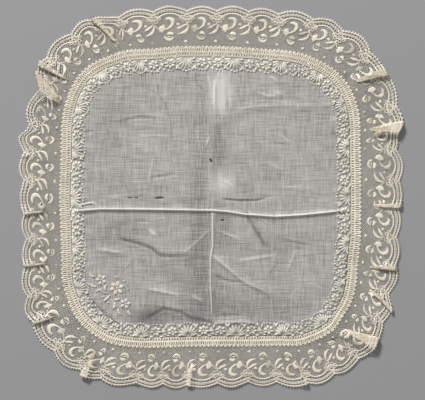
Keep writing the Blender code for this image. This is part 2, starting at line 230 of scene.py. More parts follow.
def mesh_object(name, points, faces, material):
    """A smooth-shaded object from points in mm and arrays of faces with 3 or 4 corners each."""
    mesh = bpy.data.meshes.new(name)
    corners = np.concatenate([face.ravel() for face in faces])
    sizes = np.concatenate([np.full(len(face), face.shape[1]) for face in faces])
    placed = (points + np.array([*RING_SHIFT, 0.0])) * MM
    mesh.vertices.add(len(placed))
    mesh.vertices.foreach_set("co", placed.ravel())
    mesh.loops.add(len(corners))
    mesh.loops.foreach_set("vertex_index", corners.astype(np.int32))
    mesh.polygons.add(len(sizes))
    mesh.polygons.foreach_set("loop_start", (np.cumsum(sizes) - sizes).astype(np.int32))
    mesh.update(calc_edges=True)
    mesh.shade_smooth()
    mesh.materials.append(material)
    piece = bpy.data.objects.new(name, mesh)
    bpy.context.scene.collection.objects.link(piece)
    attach(piece, "root")
    print(f"{name}: {int((sizes - 2).sum())} triangles")
    return piece


def repeated(stroke, shifts, pitch):
    """One stroke's path in every repeat: (repeats, stations, 2), each a pitch further along."""
    offset = np.stack([np.asarray(shifts) * pitch, np.zeros(len(shifts))], axis=-1)
    return stroke[None, :, :2] + offset[:, None, :]


# %% [markdown]
# ## Materials
#
# Threads are matt and slightly fuzzy, so every finish is a rough Principled shader.
# What makes cloth look real is that it is uneven: stains, thick and thin yarns, and
# rows of stitches. Those effects are shared, so each is a node group that puts out
# a mask or a height, and every material uses them with its own values.

# %% Node helpers
def new_group(name, inputs, outputs):
    """An empty shader node group with these float or vector inputs and float outputs."""
    group = bpy.data.node_groups.new(name, "ShaderNodeTree")
    for label, kind, value in inputs:
        socket = group.interface.new_socket(label, in_out="INPUT", socket_type=f"NodeSocket{kind}")
        if value is not None:
            socket.default_value = value
    for label in outputs:
        group.interface.new_socket(label, in_out="OUTPUT", socket_type="NodeSocketFloat")
    return group, group.nodes.new("NodeGroupInput"), group.nodes.new("NodeGroupOutput")


def feed(tree, socket, value):
    """Links an input to another node's output, or sets its value."""
    if isinstance(value, bpy.types.NodeSocket):
        tree.links.new(value, socket)
    else:
        socket.default_value = value


def add_node(tree, kind, settings=None, **inputs):
    """A node with its settings, and with each named input fed."""
    node = tree.nodes.new(kind)
    for key, value in (settings or {}).items():
        setattr(node, key, value)
    for key, value in inputs.items():
        feed(tree, node.inputs[key], value)
    return node


def math(tree, operation, *values):
    """The result socket of a Math node."""
    node = add_node(tree, "ShaderNodeMath", {"operation": operation})
    for socket, value in zip(node.inputs, values):
        feed(tree, socket, value)
    return node.outputs[0]


def noise(tree, vector, scale, stretch=(1, 1, 1), detail=2.0):
    """A noise's value over a vector that is first stretched along its axes."""
    moved = add_node(tree, "ShaderNodeMapping", Vector=vector, Scale=stretch)
    node = add_node(tree, "ShaderNodeTexNoise", Vector=moved.outputs[0], Scale=scale, Detail=detail)
    return node.outputs["Fac"]


# %% Uneven yarns: the woven cloth's group
FULL_TURN = 6.2832
HALF_TURNS_PER_METRE = 3141.6
MM_PER_METRE = 1000.0


def make_weave_group():
    """Streaks: thick yarns both ways, as noise stretched along x plus noise stretched along y.
    Height: a warp wave times a weft wave, plus the same streaks."""
    group, inside, outside = new_group(
        "woven_yarns", [("Vector", "Vector", None), ("Yarn pitch mm", "Float", 0.45)], ["Streaks", "Height"]
    )
    vector = inside.outputs["Vector"]
    across = noise(group, vector, 60.0, (0.45, 15.0, 1.0), 3.0)
    down = noise(group, vector, 60.0, (15.0, 0.45, 1.0), 3.0)
    fine_across = noise(group, vector, 160.0, (0.35, 9.0, 1.0), 2.0)
    fine_down = noise(group, vector, 160.0, (9.0, 0.5, 1.0), 2.0)
    wide = math(group, "ADD", across, down)
    fine = math(group, "ADD", fine_across, fine_down)
    streaks = math(group, "ADD", math(group, "MULTIPLY", wide, 0.18), math(group, "MULTIPLY", fine, 0.32))
    split = add_node(group, "ShaderNodeSeparateXYZ", Vector=vector)
    turns = math(group, "DIVIDE", HALF_TURNS_PER_METRE, inside.outputs["Yarn pitch mm"])
    warp = math(group, "SINE", math(group, "MULTIPLY", split.outputs[0], turns))
    weft = math(group, "SINE", math(group, "MULTIPLY", split.outputs[1], turns))
    height = math(group, "ADD", math(group, "MULTIPLY", math(group, "MULTIPLY", warp, weft), 0.5), streaks)
    group.links.new(streaks, outside.inputs["Streaks"])
    group.links.new(height, outside.inputs["Height"])
    return group


# %% Stains and wear: a soft mottle shared by all the threads
def make_mottle_group():
    """Mottle: two noises of different size, drawn apart about their middle and kept from 0 to 1."""
    inputs = [("Vector", "Vector", None), ("Size mm", "Float", 30.0), ("Contrast", "Float", 2.5)]
    group, inside, outside = new_group("age_mottle", inputs, ["Mottle"])
    vector = inside.outputs["Vector"]
    scale = math(group, "DIVIDE", MM_PER_METRE, inside.outputs["Size mm"])
    large = add_node(group, "ShaderNodeTexNoise", Vector=vector, Scale=scale, Detail=2.0)
    closer = math(group, "MULTIPLY", scale, 4.3)
    close = add_node(group, "ShaderNodeTexNoise", Vector=vector, Scale=closer, Detail=2.0)
    large_share = math(group, "MULTIPLY", large.outputs["Fac"], 0.65)
    mixed = math(group, "ADD", large_share, math(group, "MULTIPLY", close.outputs["Fac"], 0.35))
    apart = math(group, "MULTIPLY", math(group, "SUBTRACT", mixed, 0.5), inside.outputs["Contrast"])
    final = add_node(group, "ShaderNodeClamp", Value=math(group, "ADD", apart, 0.5))
    group.links.new(final.outputs[0], outside.inputs["Mottle"])
    return group


# %% Rows of stitches: threads laid side by side across a stroke
def make_stitch_group():
    """Height: a wave along the stroke's own length, with one crest for each thread."""
    group, inside, outside = new_group("laid_stitches", [("Thread mm", "Float", 0.5)], ["Height", "Tone"])
    note = add_node(group, "ShaderNodeAttribute", {"attribute_name": "stitch"})
    split = add_node(group, "ShaderNodeSeparateXYZ", Vector=note.outputs["Vector"])
    turns = math(group, "DIVIDE", FULL_TURN, inside.outputs["Thread mm"])
    wave = math(group, "SINE", math(group, "MULTIPLY", split.outputs[0], turns))
    group.links.new(math(group, "MULTIPLY", math(group, "ADD", wave, 1.0), 0.5), outside.inputs["Height"])
    group.links.new(split.outputs[2], outside.inputs["Tone"])
    return group


WEAVE = make_weave_group()
MOTTLE = make_mottle_group()
STITCH = make_stitch_group()


# %% Building a material from the groups
def blend_colours(tree, factor, first, second):
    """A colour between two others."""
    node = add_node(tree, "ShaderNodeMix", {"data_type": "RGBA"})
    feed(tree, node.inputs[0], factor)
    for socket, colour in ((node.inputs[6], first), (node.inputs[7], second)):
        feed(tree, socket, (*colour, 1.0) if isinstance(colour, tuple) else colour)
    return node.outputs[2]


def group_node(tree, group, **inputs):
    """A copy of a shared group in this material."""
    return add_node(tree, "ShaderNodeGroup", {"node_tree": group}, **inputs)


def cloth_shader(name, roughness, sheen):
    """A material whose Principled shader is rough, with the soft sheen of fibres."""
    material = bpy.data.materials.new(name)
    material.use_nodes = True
    tree = material.node_tree
    shader = tree.nodes["Principled BSDF"]
    shader.inputs["Roughness"].default_value = roughness
    shader.inputs["Specular IOR Level"].default_value = 0.2
    shader.inputs["Sheen Weight"].default_value = sheen
    shader.inputs["Sheen Roughness"].default_value = 0.6
    coordinates = tree.nodes.new("ShaderNodeTexCoord").outputs["Object"]
    return material, tree, shader, coordinates


def thread_material(name, light, dark, mottle_mm, contrast, thread_mm, bump):
    """Sewn threads: stained and worn from light to dark, darker or lighter by stroke, ribbed, and with
    painted shade in the grooves between the threads.
    """
    material, tree, shader, place = cloth_shader(name, 0.85, 0.15)
    mottle = group_node(tree, MOTTLE, Vector=place, **{"Size mm": mottle_mm, "Contrast": contrast})
    close = group_node(tree, MOTTLE, Vector=place, **{"Size mm": 2.0, "Contrast": 3.8})
    stitch = group_node(tree, STITCH, **{"Thread mm": thread_mm})
    spots = math(tree, "MULTIPLY", math(tree, "SUBTRACT", close.outputs["Mottle"], 0.5), 0.7)
    uneven = math(tree, "ADD", mottle.outputs["Mottle"], spots)
    tone = math(tree, "ADD", uneven, math(tree, "SUBTRACT", stitch.outputs["Tone"], 0.5))
    kept = add_node(tree, "ShaderNodeClamp", Value=tone)
    colour = blend_colours(tree, kept.outputs[0], dark, light)
    # Painted shade: the colour falls towards half the dark tone in the grooves between the laid threads.
    groove_shade = math(tree, "MULTIPLY", math(tree, "SUBTRACT", 1.0, stitch.outputs["Height"]), 0.25)
    shaded = blend_colours(tree, groove_shade, colour, tuple(0.5 * c for c in dark))
    tree.links.new(shaded, shader.inputs["Base Color"])
    height = add_node(tree, "ShaderNodeBump", Height=stitch.outputs["Height"], Strength=bump, Distance=0.0003)
    tree.links.new(height.outputs[0], shader.inputs["Normal"])
    return material


LACE_LIGHT, LACE_DARK = (0.86, 0.79, 0.66), (0.44, 0.40, 0.33)
lace_thread = thread_material("cream_lace_thread", LACE_LIGHT, LACE_DARK, 26.0, 1.8, 0.8, 0.5)
BAND_LIGHT, BAND_DARK = (0.92, 0.85, 0.70), (0.62, 0.56, 0.45)
band_thread = thread_material("cream_band_thread", BAND_LIGHT, BAND_DARK, 40.0, 2.0, 0.6, 0.6)
SATIN_LIGHT, SATIN_DARK = (0.93, 0.88, 0.76), (0.58, 0.55, 0.48)
satin_thread = thread_material("white_satin_thread", SATIN_LIGHT, SATIN_DARK, 18.0, 2.5, 0.6, 0.8)
SPRAY_LIGHT, SPRAY_DARK = (0.88, 0.81, 0.70), (0.64, 0.58, 0.50)
spray_thread = thread_material("cream_satin_thread", SPRAY_LIGHT, SPRAY_DARK, 14.0, 2.0, 0.6, 0.8)


def hair_creases(tree, place, scale, thin):
    """Thin wandering lines, broken up: one where a noise crosses a half, falling to nothing within a
    small step of it, times a second noise drawn apart."""
    off = math(tree, "ABSOLUTE", math(tree, "SUBTRACT", noise(tree, place, scale, detail=0.0), 0.5))
    line = math(tree, "MAXIMUM", math(tree, "SUBTRACT", 1.0, math(tree, "DIVIDE", off, thin)), 0.0)
    here = math(tree, "MULTIPLY", math(tree, "SUBTRACT", noise(tree, place, 3.1 * scale), 0.5), 7.0)
    return math(tree, "MULTIPLY", line, add_node(tree, "ShaderNodeClamp", Value=here).outputs[0])


def make_linen_material():
    """Fine linen: grey-white, with uneven yarns both ways, soft stains, painted light and shade from the
    sheet's attribute, painted highlight and shade lines for hair creases, and a fine plain weave."""
    material, tree, shader, place = cloth_shader("fine_linen", 0.9, 0.1)
    weave = group_node(tree, WEAVE, Vector=place)
    mottle = group_node(tree, MOTTLE, Vector=place, **{"Size mm": 60.0, "Contrast": 1.6})
    streaks = math(tree, "MULTIPLY", math(tree, "SUBTRACT", weave.outputs["Streaks"], 0.5), 3.0)
    uneven = math(tree, "MULTIPLY", math(tree, "SUBTRACT", mottle.outputs["Mottle"], 0.5), 0.28)
    # Painted light and shade from the fold patches, the creases and the rim, read from the sheet.
    painted_shading_values = add_node(tree, "ShaderNodeAttribute", {"attribute_name": "painted_shading"}).outputs["Fac"]
    # Painted highlight and painted shade of fine hair creases: pale lines lighten the cloth and darker lines
    # darken it.
    hair_crease_highlights = hair_creases(tree, place, 9.0, 0.004)
    hair_crease_light_and_shade = math(tree, "SUBTRACT", hair_crease_highlights, hair_creases(tree, place, 12.0, 0.005))
    level = math(tree, "ADD", math(tree, "ADD", streaks, uneven), math(tree, "ADD", painted_shading_values, 0.48))
    level = math(tree, "ADD", level, math(tree, "MULTIPLY", hair_crease_light_and_shade, 0.34))
    factor = add_node(tree, "ShaderNodeClamp", Value=level)
    colour = blend_colours(tree, factor.outputs[0], (0.17, 0.163, 0.152), (0.56, 0.545, 0.51))
    tree.links.new(colour, shader.inputs["Base Color"])
    height = add_node(tree, "ShaderNodeBump", Height=weave.outputs["Height"], Strength=0.25, Distance=0.0002)
    tree.links.new(height.outputs[0], shader.inputs["Normal"])
    return material


linen_cloth_material = make_linen_material()


def make_flap_material():
    """Close-pressed net: cream to tan, with uneven threads both ways from the weave's own group."""
    material, tree, shader, place = cloth_shader("pressed_net", 0.9, 0.1)
    weave = group_node(tree, WEAVE, Vector=place)
    mottle = group_node(tree, MOTTLE, Vector=place, **{"Size mm": 14.0, "Contrast": 3.0})
    streaks = math(tree, "MULTIPLY", math(tree, "SUBTRACT", weave.outputs["Streaks"], 0.5), 4.0)
    level = add_node(tree, "ShaderNodeClamp", Value=math(tree, "ADD", streaks, mottle.outputs["Mottle"]))
    colour = blend_colours(tree, level.outputs[0], (0.36, 0.30, 0.21), (0.78, 0.70, 0.55))
    tree.links.new(colour, shader.inputs["Base Color"])
    height = add_node(tree, "ShaderNodeBump", Height=weave.outputs["Height"], Strength=0.4, Distance=0.0003)
    tree.links.new(height.outputs[0], shader.inputs["Normal"])
    return material


flap_web_material = make_flap_material()
print("made", len(bpy.data.materials), "materials")

# %% [markdown]
# ## The linen's creases
#
# The linen was folded in four and pressed, so one sharp ridge crosses it and a softer
# one runs down it. Packed away, it took smaller creases as well. Cloth simulation
# would make other creases than this cloth has, so the main ones are listed one by one:
# each is a line with a height and a width, rounded off to its sides.

# %% Ridges and creases, in mm from the middle
CROSS_FOLD = (
    (-122, -12.1), (-97, -10.3), (-53, -10.7), (0, -11.6), (13, -12.5), (30, -15.1),
    (57, -16.9), (79, -15.6), (101, -13.4), (123, -10.7),
)

# Soft ridges under the linen: height, half width, points
RIDGES = (
    (0.6, 4.0, CROSS_FOLD),
    (0.5, 5.0, ((2, -14), (2, -43), (0, -56), (0, -108))),
    (0.6, 7.0, ((4, 112), (5, 103), (4, 79), (1, 40), (0, -8))),
    (0.5, 8.0, ((12, 106), (12, 70))),
    (0.55, 6.0, ((2, -52), (29, -74), (51, -84))),
    (0.35, 8.0, ((6, -28), (26, -37), (45, -47))),
    (0.45, 7.0, ((-82, -36), (-62, -40), (-48, -48), (-36, -52), (-17, -51))),
    (0.4, 6.0, ((-99, -46), (-76, -49))),
    (0.45, 7.0, ((-57, -80), (-27, -86), (-9, -90))),
    (0.6, 7.0, ((-62, -104), (-41, -97), (-26, -102), (-9, -107), (28, -109), (42, -111))),
    (0.5, 6.0, ((-109, -83), (-101, -94), (-88, -107), (-78, -115))),
    (0.5, 6.0, ((-124, 36), (-110, 40))),
    (0.5, 6.0, ((-123, -29), (-108, -34))),
    (0.45, 7.0, ((26, 76), (37, 80), (60, 81), (76, 80), (105, 82))),
    (0.4, 7.0, ((40, 94), (50, 89), (61, 90))),
)

# Sharp creases on top, thinning out at their ends: height (below 0 for a groove), half width, points
CREASES = (
    (1.15, 1.7, CROSS_FOLD),
    (1.05, 1.2, ((1.5, -12), (1.5, -43), (-0.5, -55), (-0.5, -75), (1, -107))),
    (0.85, 1.8, ((3.5, 104), (3.5, 76))),
    (-0.84, 2.4, ((14, 100), (15, 86), (14, 74))),
    (0.7, 1.4, ((-3, 109), (-1, 101), (0.5, 94))),
    (0.6, 1.4, ((7, 112), (6.6, 103))),
    (-0.56, 1.4, ((-14, 112), (-12.5, 100), (-2, 90))),
    (0.56, 1.4, ((-12.5, 61), (-10, 42))),
    (0.6, 1.3, ((-0.5, 55), (-6, 42))),
    (0.35, 1.2, ((-71, 52.4), (-52, 54.5), (-34, 54))),
    (0.35, 1.2, ((-38.7, 110), (-39.3, 86))),
    (-1.26, 2.0, (
        (-82, -36.5), (-70, -39), (-58, -42.5), (-51.5, -45.5), (-45, -51), (-37, -52), (-16, -51),
    )),
    (1.0, 1.5, ((-55.5, -27.6), (-45.8, -35.8))),
    (-0.5, 1.5, ((-71, -21.5), (-61, -21), (-49, -20))),
    (0.35, 1.3, ((-61, -20.5), (-44, -18), (-35, -17))),
    (0.5, 1.4, ((0, -27), (-12.5, -39), (-25, -49.5))),
    (0.84, 1.6, ((-99.5, -45.5), (-77, -49))),
    (0.84, 1.6, ((-57, -80), (-37, -84), (-26.5, -86.5))),
    (0.77, 1.5, ((-18, -85.5), (-5.5, -92.5))),
    (-1.05, 2.0, ((-58, -108), (-42, -98), (-26.5, -101), (-17, -107), (2, -110))),
    (-0.98, 1.7, ((-108, -88), (-98, -98.5), (-86.5, -108), (-78.5, -115))),
    (1.0, 1.3, ((1.5, -50.5), (10, -58), (19, -65.5))),
    (0.55, 1.4, ((13, -60.5), (29, -74), (51, -84))),
    (-0.84, 1.8, ((0, -67.5), (16, -74), (29, -74.5))),
    (-1.1, 2.6, ((31, -15), (49, -45))),
    (-0.6, 1.4, ((5, -57.5), (30, -77.5), (50, -86.5))),
    (-0.7, 1.6, ((61, -37), (88, -43))),
    (0.63, 1.7, ((20, -56.5), (57, -51))),
    (0.84, 1.4, ((6, -29), (26, -37))),
    (-0.84, 1.8, ((2.5, -104), (29, -103.5))),
    (0.98, 1.7, ((2, -110.5), (27, -109), (41, -111))),
    (-0.56, 1.5, ((51, -84), (51, -94))),
    (0.49, 1.5, ((75, -45), (66, -67))),
    (-0.84, 1.7, ((-54, 17), (-30, 21))),
    (0.3, 1.6, ((-83, 69), (-62, 73), (-41, 71))),
    (-0.45, 1.8, ((-83, 66.5), (-62, 70.5), (-41, 69))),
    (-0.98, 1.6, ((-124, 37), (-112, 39.5))),
    (0.7, 1.6, ((-124, 34), (-110, 37))),
    (-0.7, 1.6, ((-113, 56), (-102, 59))),
    (-1.3, 1.6, ((-124, -28), (-116.5, -30), (-109.5, -33.5))),
    (0.9, 1.4, ((-122, -7.5), (-114, -6.7), (-105, -4.8), (-96, -8.5))),
    (-1.1, 1.3, ((108, -10.5), (114, -14), (118, -15), (124, -14.5))),
    (0.9, 1.3, ((110, -15.5), (116, -18), (125, -18))),
    (0.63, 1.6, ((40, 93), (50, 89), (61, 90))),
    (0.42, 1.5, ((24, 77), (35, 80), (69, 81), (111, 81.5))),
    (0.56, 1.4, ((50, 108), (60, 101))),
    (0.56, 1.4, ((54, 93.5), (66, 89))),
    (0.56, 1.5, ((60, 56), (70, 48))),
    (0.56, 1.5, ((51, 30), (61, 25))),
    (0.7, 1.6, ((11, 15), (20, 9))),
    (-0.84, 1.9, ((8, -1.5), (23, -3), (40, -3), (51, 0))),
    (0.49, 1.6, ((56, 10), (91, 7.5))),
    (0.63, 1.8, ((104, 68), (115, 69))),
    (-0.7, 2.6, ((107, 60), (109, 52))),
)


def distance_to_line(x, y, line):
    """The distance from each point to the nearest of the line's stretches."""
    nearest = np.full(x.shape, np.inf)
    for (ax, ay), (bx, by) in zip(line[:-1], line[1:]):
        run_x, run_y = bx - ax, by - ay
        along = np.clip(((x - ax) * run_x + (y - ay) * run_y) / (run_x**2 + run_y**2), 0, 1)
        nearest = np.minimum(nearest, np.hypot(x - ax - along * run_x, y - ay - along * run_y))
    return nearest


def along_and_across(x, y, centre_x, centre_y, degrees):
    """The steps from a centre to each point, along and across a line at this turn."""
    turn = np.radians(degrees)
    along = (x - centre_x) * np.cos(turn) + (y - centre_y) * np.sin(turn)
    across = (y - centre_y) * np.cos(turn) - (x - centre_x) * np.sin(turn)
    return along, across


# How long a crease's tapered end is at most, in mm, and as a share of a short crease
CREASE_END = 7.0
SHORT_CREASE_END = 0.35


def crease_share(x, y, half_width, line):
    """How much of a crease there is at a point: one on its line, falling evenly to nothing at its
    half width and over its two ends, which are shorter on a short crease."""
    side = np.clip(distance_to_line(x, y, line) / half_width, 0, 1)
    (ax, ay), (bx, by) = line[0], line[-1]
    end = np.minimum(np.hypot(x - ax, y - ay), np.hypot(x - bx, y - by))
    taper = min(CREASE_END, SHORT_CREASE_END * np.hypot(bx - ax, by - ay))
    return (1 - side) * np.clip(end / taper, 0, 1) ** 0.8


# %% The linen's face as a height over the table
LINEN_THICKNESS = 0.3
LINEN_RIM = 0.55
LINEN_BASE = 0.95
LEAST_CLEARANCE = 0.04
RIM_FADE = 5.5
PUCKER_HEIGHT = 0.14
SWELL_HEIGHT = 0.18
BAND_WIDTH = 8.8
SEAM_GAP = 0.4
LINEN_INSET = BAND_WIDTH + SEAM_GAP


def puckers(x, y, place, depth):
    """Small waves square to the border, where the embroidery has drawn the cloth up."""
    near = np.clip(1 - np.abs(depth - 11) / 17, 0, 1)
    wave = np.sin(place / 1.55 + 1.7 * np.sin(place / 23.0)) + 0.6 * np.sin(place / 0.93 + 2.0)
    return PUCKER_HEIGHT * wave * near * near


def linen_top(x, y):
    """The face's height: the base, slow swells, rounded ridges, sharp creases, and puckers by the
    border. All of them die away towards the flat rim, and none goes below the table."""
    place, _, _, from_core = ring_nearest(x, y)
    depth = RING_RADIUS - LINEN_INSET - from_core
    ridge = np.zeros(x.shape)
    for top, half_width, line in RIDGES:
        off = np.clip(distance_to_line(x, y, line) / half_width, 0, 1)
        ridge = np.maximum(ridge, top * (1 - off**2) ** 2)
    crease = np.zeros(x.shape)
    for top, half_width, line in CREASES:
        crease += top * crease_share(x, y, half_width, line) ** 1.4
    swell = SWELL_HEIGHT * np.sin(x / 13 + np.sin(y / 19)) * np.sin(y / 17 + 0.7 * np.sin(x / 23))
    fade = np.clip(depth / RIM_FADE, 0, 1)
    fade = fade * fade * (3 - 2 * fade)
    high = LINEN_RIM + (LINEN_BASE - LINEN_RIM + swell + ridge + crease) * fade
    high += puckers(x, y, place, depth) * np.clip(depth / 3, 0, 1)
    return np.maximum(high, LINEN_THICKNESS + LEAST_CLEARANCE)


# Painted light and shade: soft lighter and darker patches where the folds catch the light or lie in shade,
# painted into the cloth's colour: x, y, half length, half width, turn in degrees, change
PAINTED_SHADING_PATCHES = (
    (-10, -55, 68, 10, 90, -0.30),
    (8, -25, 20, 11, 90, -0.26),
    (4, -92, 22, 10, 90, -0.16),
    (9, 92, 15, 8, 90, 0.9),
    (7, 46, 20, 10, 90, -0.20),
    (10, 12, 11, 12, 90, 0.42),
    (-10, 42, 50, 8, 90, -0.10),
    (-53, -103, 17, 9, 8, -0.40),
    (-20, -103, 26, 9, 0, -0.18),
    (45, -98, 42, 12, 0, -0.16),
    (62, -42, 34, 12, 0, -0.13),
    (-86, -32, 26, 13, 0, -0.12),
    (-88, 58, 36, 16, 90, -0.12),
    (20, 99, 14, 7, 90, 0.12),
    (-60, 8, 40, 8, 0, -0.06),
    (-40, -66, 16, 8, -25, -0.12),
)


# Strength of the painted highlight along a ridge, of the painted shade along a groove, and of the painted
# light on the rim by the seam, which lifts the rails' shadow there; and how far in the rim's painted light
# goes, in mm
RIDGE_PAINTED_HIGHLIGHT, GROOVE_PAINTED_SHADE, RIM_PAINTED_LIGHT = 0.8, 0.45, 0.9
RIM_PAINTED_LIGHT_DEPTH = 2.5


def linen_painted_shading(x, y):
    """Painted light and shade on the cloth: the sum of the patches of painted light and shade on the folds,
    each fading out from its middle as a bell, of a painted highlight along each ridge and painted shade along
    each groove, and of painted light on the rim by the seam, where the insertion's rails throw shadow."""
    depth = RING_RADIUS - LINEN_INSET - ring_nearest(x, y)[3]
    # Painted light along the rim by the seam, where the insertion's rails shade the cloth.
    painted_shading = RIM_PAINTED_LIGHT * np.clip(1 - depth / RIM_PAINTED_LIGHT_DEPTH, 0, 1)
    # Painted light and shade of the folds: each patch lightens or darkens the cloth as a soft bell.
    for patch_x, patch_y, half_long, half_wide, degrees, change in PAINTED_SHADING_PATCHES:
        along, across = along_and_across(x, y, patch_x, patch_y, degrees)
        off = (along / half_long) ** 2 + (across / half_wide) ** 2
        painted_shading += change * np.exp(-(off**1.3))
    # Painted highlight along each ridge and painted shade along each groove.
    for top, half_width, line in CREASES:
        tint = RIDGE_PAINTED_HIGHLIGHT if top > 0 else GROOVE_PAINTED_SHADE
        painted_shading += tint * top * crease_share(x, y, 0.85 * half_width, line)
    return painted_shading


def linen_at(x, y, lift):
    """A point lifted off the linen's face, by x and y in mm."""
    return np.stack([x, y, linen_top(x, y) + lift], axis=-1)


# %% [markdown]
# ## The linen sheet
#
# The linen is one thin sheet. A plane with Solidify would do, but its slit has to
# be a real hole, and its rim has to meet the rounded seam. So its face is a grid
# whose rows are as wide as the rounded square, its back is the same grid a thread's
# thickness lower, and the walls that close it stand wherever a kept cell ends.

# %% The sheet's grid
WOBBLE_FADE = 50.0
DOWN_FOLD = ((3.5, 112), (3.5, 79), (1.5, 40), (1.5, -43), (-0.5, -56), (-0.5, -75), (1, -107))

# Worn holes: x, y, half length, half width, turn in degrees
HOLES = (
    (-45.2, -0.6, 3.9, 1.15, 3),
    (-71.5, -0.4, 2.6, 0.42, 0),
    (-66.0, -0.6, 1.9, 0.4, 4),
    (-0.3, 32.2, 1.0, 2.0, 20),
    (10.0, -20.4, 0.9, 0.9, 0),
)


def spaced(low, high, gap):
    """Positions from low to high with the gap that a function gives at each place: they are equal
    shares of the running sum of one over the gap."""
    fine = np.linspace(low, high, 6001)
    total = np.concatenate([[0], np.cumsum(1 / gap((fine[1:] + fine[:-1]) / 2))]) * (fine[1] - fine[0])
    return np.interp(np.linspace(0, total[-1], int(round(total[-1])) + 1), total, fine)


def row_gap(y):
    """1.35 mm between rows, down to 0.1 at the far rims and 0.5 along the cross fold."""
    by_rim = 0.1 + 0.25 * np.maximum(CORE_Y + RING_RADIUS - LINEN_INSET - np.abs(y), 0)
    by_fold = 0.5 + 0.25 * np.maximum(np.abs(y + 8) - 9, 0)
    return np.minimum(np.minimum(by_rim, by_fold), 1.35)


def column_gap(x):
    """1.3 mm between columns, and 0.6 along the fold that runs down the linen."""
    return np.minimum(0.6 + 0.12 * np.maximum(np.abs(x - 1) - 3, 0), 1.3)


def linen_grid():
    """x and y of the sheet's grid: rows from bottom to top, as wide as the rounded square there. The
    rows and columns by a fold bend with it, and the rim strays with the seam."""
    radius = RING_RADIUS - LINEN_INSET
    rows = spaced(-CORE_Y - radius, CORE_Y + radius, row_gap)
    columns = spaced(-CORE_X - radius, CORE_X + radius, column_gap) / (CORE_X + radius)
    over = np.clip(np.abs(rows) - CORE_Y, 0, None)
    half = CORE_X + np.sqrt(np.clip(radius**2 - over**2, 0, None))
    x = half[:, None] * columns[None, :]
    y = np.repeat(rows[:, None], len(columns), axis=1)
    place, normal_x, normal_y, from_core = ring_nearest(x, y)
    depth = radius - from_core
    inner = np.clip(depth / 25, 0, 1)
    down_x, down_y = np.array(DOWN_FOLD).T
    fold_x, fold_y = np.array(CROSS_FOLD, float).T
    bend_x = (np.interp(-y, -down_y, down_x) - 1) * np.exp(-(((x - 1) / 20) ** 2)) * inner
    bend_y = (np.interp(x, fold_x, fold_y) + 12.7) * np.exp(-(((y + 12.7) / 25) ** 2)) * inner
    fade = np.clip(1 - depth / WOBBLE_FADE, 0, 1)
    stray = table_value(WOBBLE, place, RING_LENGTH) * fade * fade * (3 - 2 * fade)
    return x + normal_x * stray + bend_x, y + normal_y * stray + bend_y


def hole_distance(x, y):
    """How far inside the nearest hole a point is: under 1 in the hole, by the ellipse's own measure."""
    inside = np.full(x.shape, np.inf)
    for hole_x, hole_y, half_long, half_wide, degrees in HOLES:
        along, across = along_and_across(x, y, hole_x, hole_y, degrees)
        inside = np.minimum(inside, np.hypot(along / half_long, across / half_wide))
    return inside


def closed_sheet(top, bottom, keep):
    """Faces of the kept cells on both sides of a grid, and walls where a kept cell has no neighbour."""
    rows, columns = top.shape[:2]
    index = np.arange(rows * columns).reshape(rows, columns)
    a, b = index[:-1, :-1], index[:-1, 1:]
    d, c = index[1:, :-1], index[1:, 1:]
    under = rows * columns
    faces = [np.stack([a, b, c, d], axis=-1)[keep], np.stack([a, d, c, b], axis=-1)[keep] + under]
    framed = np.pad(keep, 1)
    sides = (
        (framed[:-2, 1:-1], a, b),
        (framed[1:-1, 2:], b, c),
        (framed[2:, 1:-1], c, d),
        (framed[1:-1, :-2], d, a),
    )
    for neighbour, start, end in sides:
        bare = keep & ~neighbour
        start, end = start[bare], end[bare]
        faces.append(np.stack([start, start + under, end + under, end], axis=-1))
    points = np.concatenate([top.reshape(-1, 3), bottom.reshape(-1, 3)])
    used, packed = np.unique(np.concatenate([face.ravel() for face in faces]), return_inverse=True)
    sizes = np.cumsum([face.size for face in faces])[:-1]
    return points[used], [part.reshape(-1, 4) for part in np.split(packed, sizes)]


grid_x, grid_y = linen_grid()
linen_face = linen_at(grid_x, grid_y, 0.0)
linen_back = linen_face - np.array([0, 0, LINEN_THICKNESS])
cell_x = (grid_x[:-1, :-1] + grid_x[1:, 1:]) / 2
cell_y = (grid_y[:-1, :-1] + grid_y[1:, 1:]) / 2
linen_points, linen_faces = closed_sheet(linen_face, linen_back, hole_distance(cell_x, cell_y) > 1)
linen_cloth = mesh_object("linen_cloth", linen_points, linen_faces, linen_cloth_material)
# The cloth's painted light and shade goes in a point attribute that its material reads.
painted_shading = linen_cloth.data.attributes.new("painted_shading", "FLOAT", "POINT")
painted_shading.data.foreach_set("value", linen_painted_shading(linen_points[:, 0], linen_points[:, 1]).astype(np.float32))
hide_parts("linen_centre")

# %% [markdown]
# ## The embroidered border
#
# White satin stitch runs round the linen just inside the insertion: flowers, leaf
# fans, curled stems and little round dots. Each shape is a padded lens of close
# stitches, so it is a stroke with a crown. They could be a bump on the linen, but
# they stand half a millimetre proud and throw their own small shadows.

# %% The border's strokes, in pattern units of 0.88 mm: a along the seam, t inwards below 0
UNIT = 0.88
BORDER_REPEATS = 22
BORDER_PITCH = 43.0


def border_at(a, t, lift):
    """A point on the linen by pattern units: the place along the seam, how far out, and the lift."""
    x, y = ring_point(a * RING_LENGTH / (BORDER_REPEATS * BORDER_PITCH), t * UNIT)
    return linen_at(x, y, lift)


def lens(start, end, half_width, bow=0.0, stations=7):
    """A leaf from start to end: as wide as the sine of its length, bowed to one side."""
    share = np.linspace(0, 1, stations)
    start, end = np.array(start, float), np.array(end, float)
    run = end - start
    side = np.array([-run[1], run[0]])
    path = start + run * share[:, None] + side * (bow * np.sin(np.pi * share))[:, None]
    width = half_width * np.maximum(np.sin(np.pi * share), 0.12) ** 0.7
    return np.column_stack([path, width])


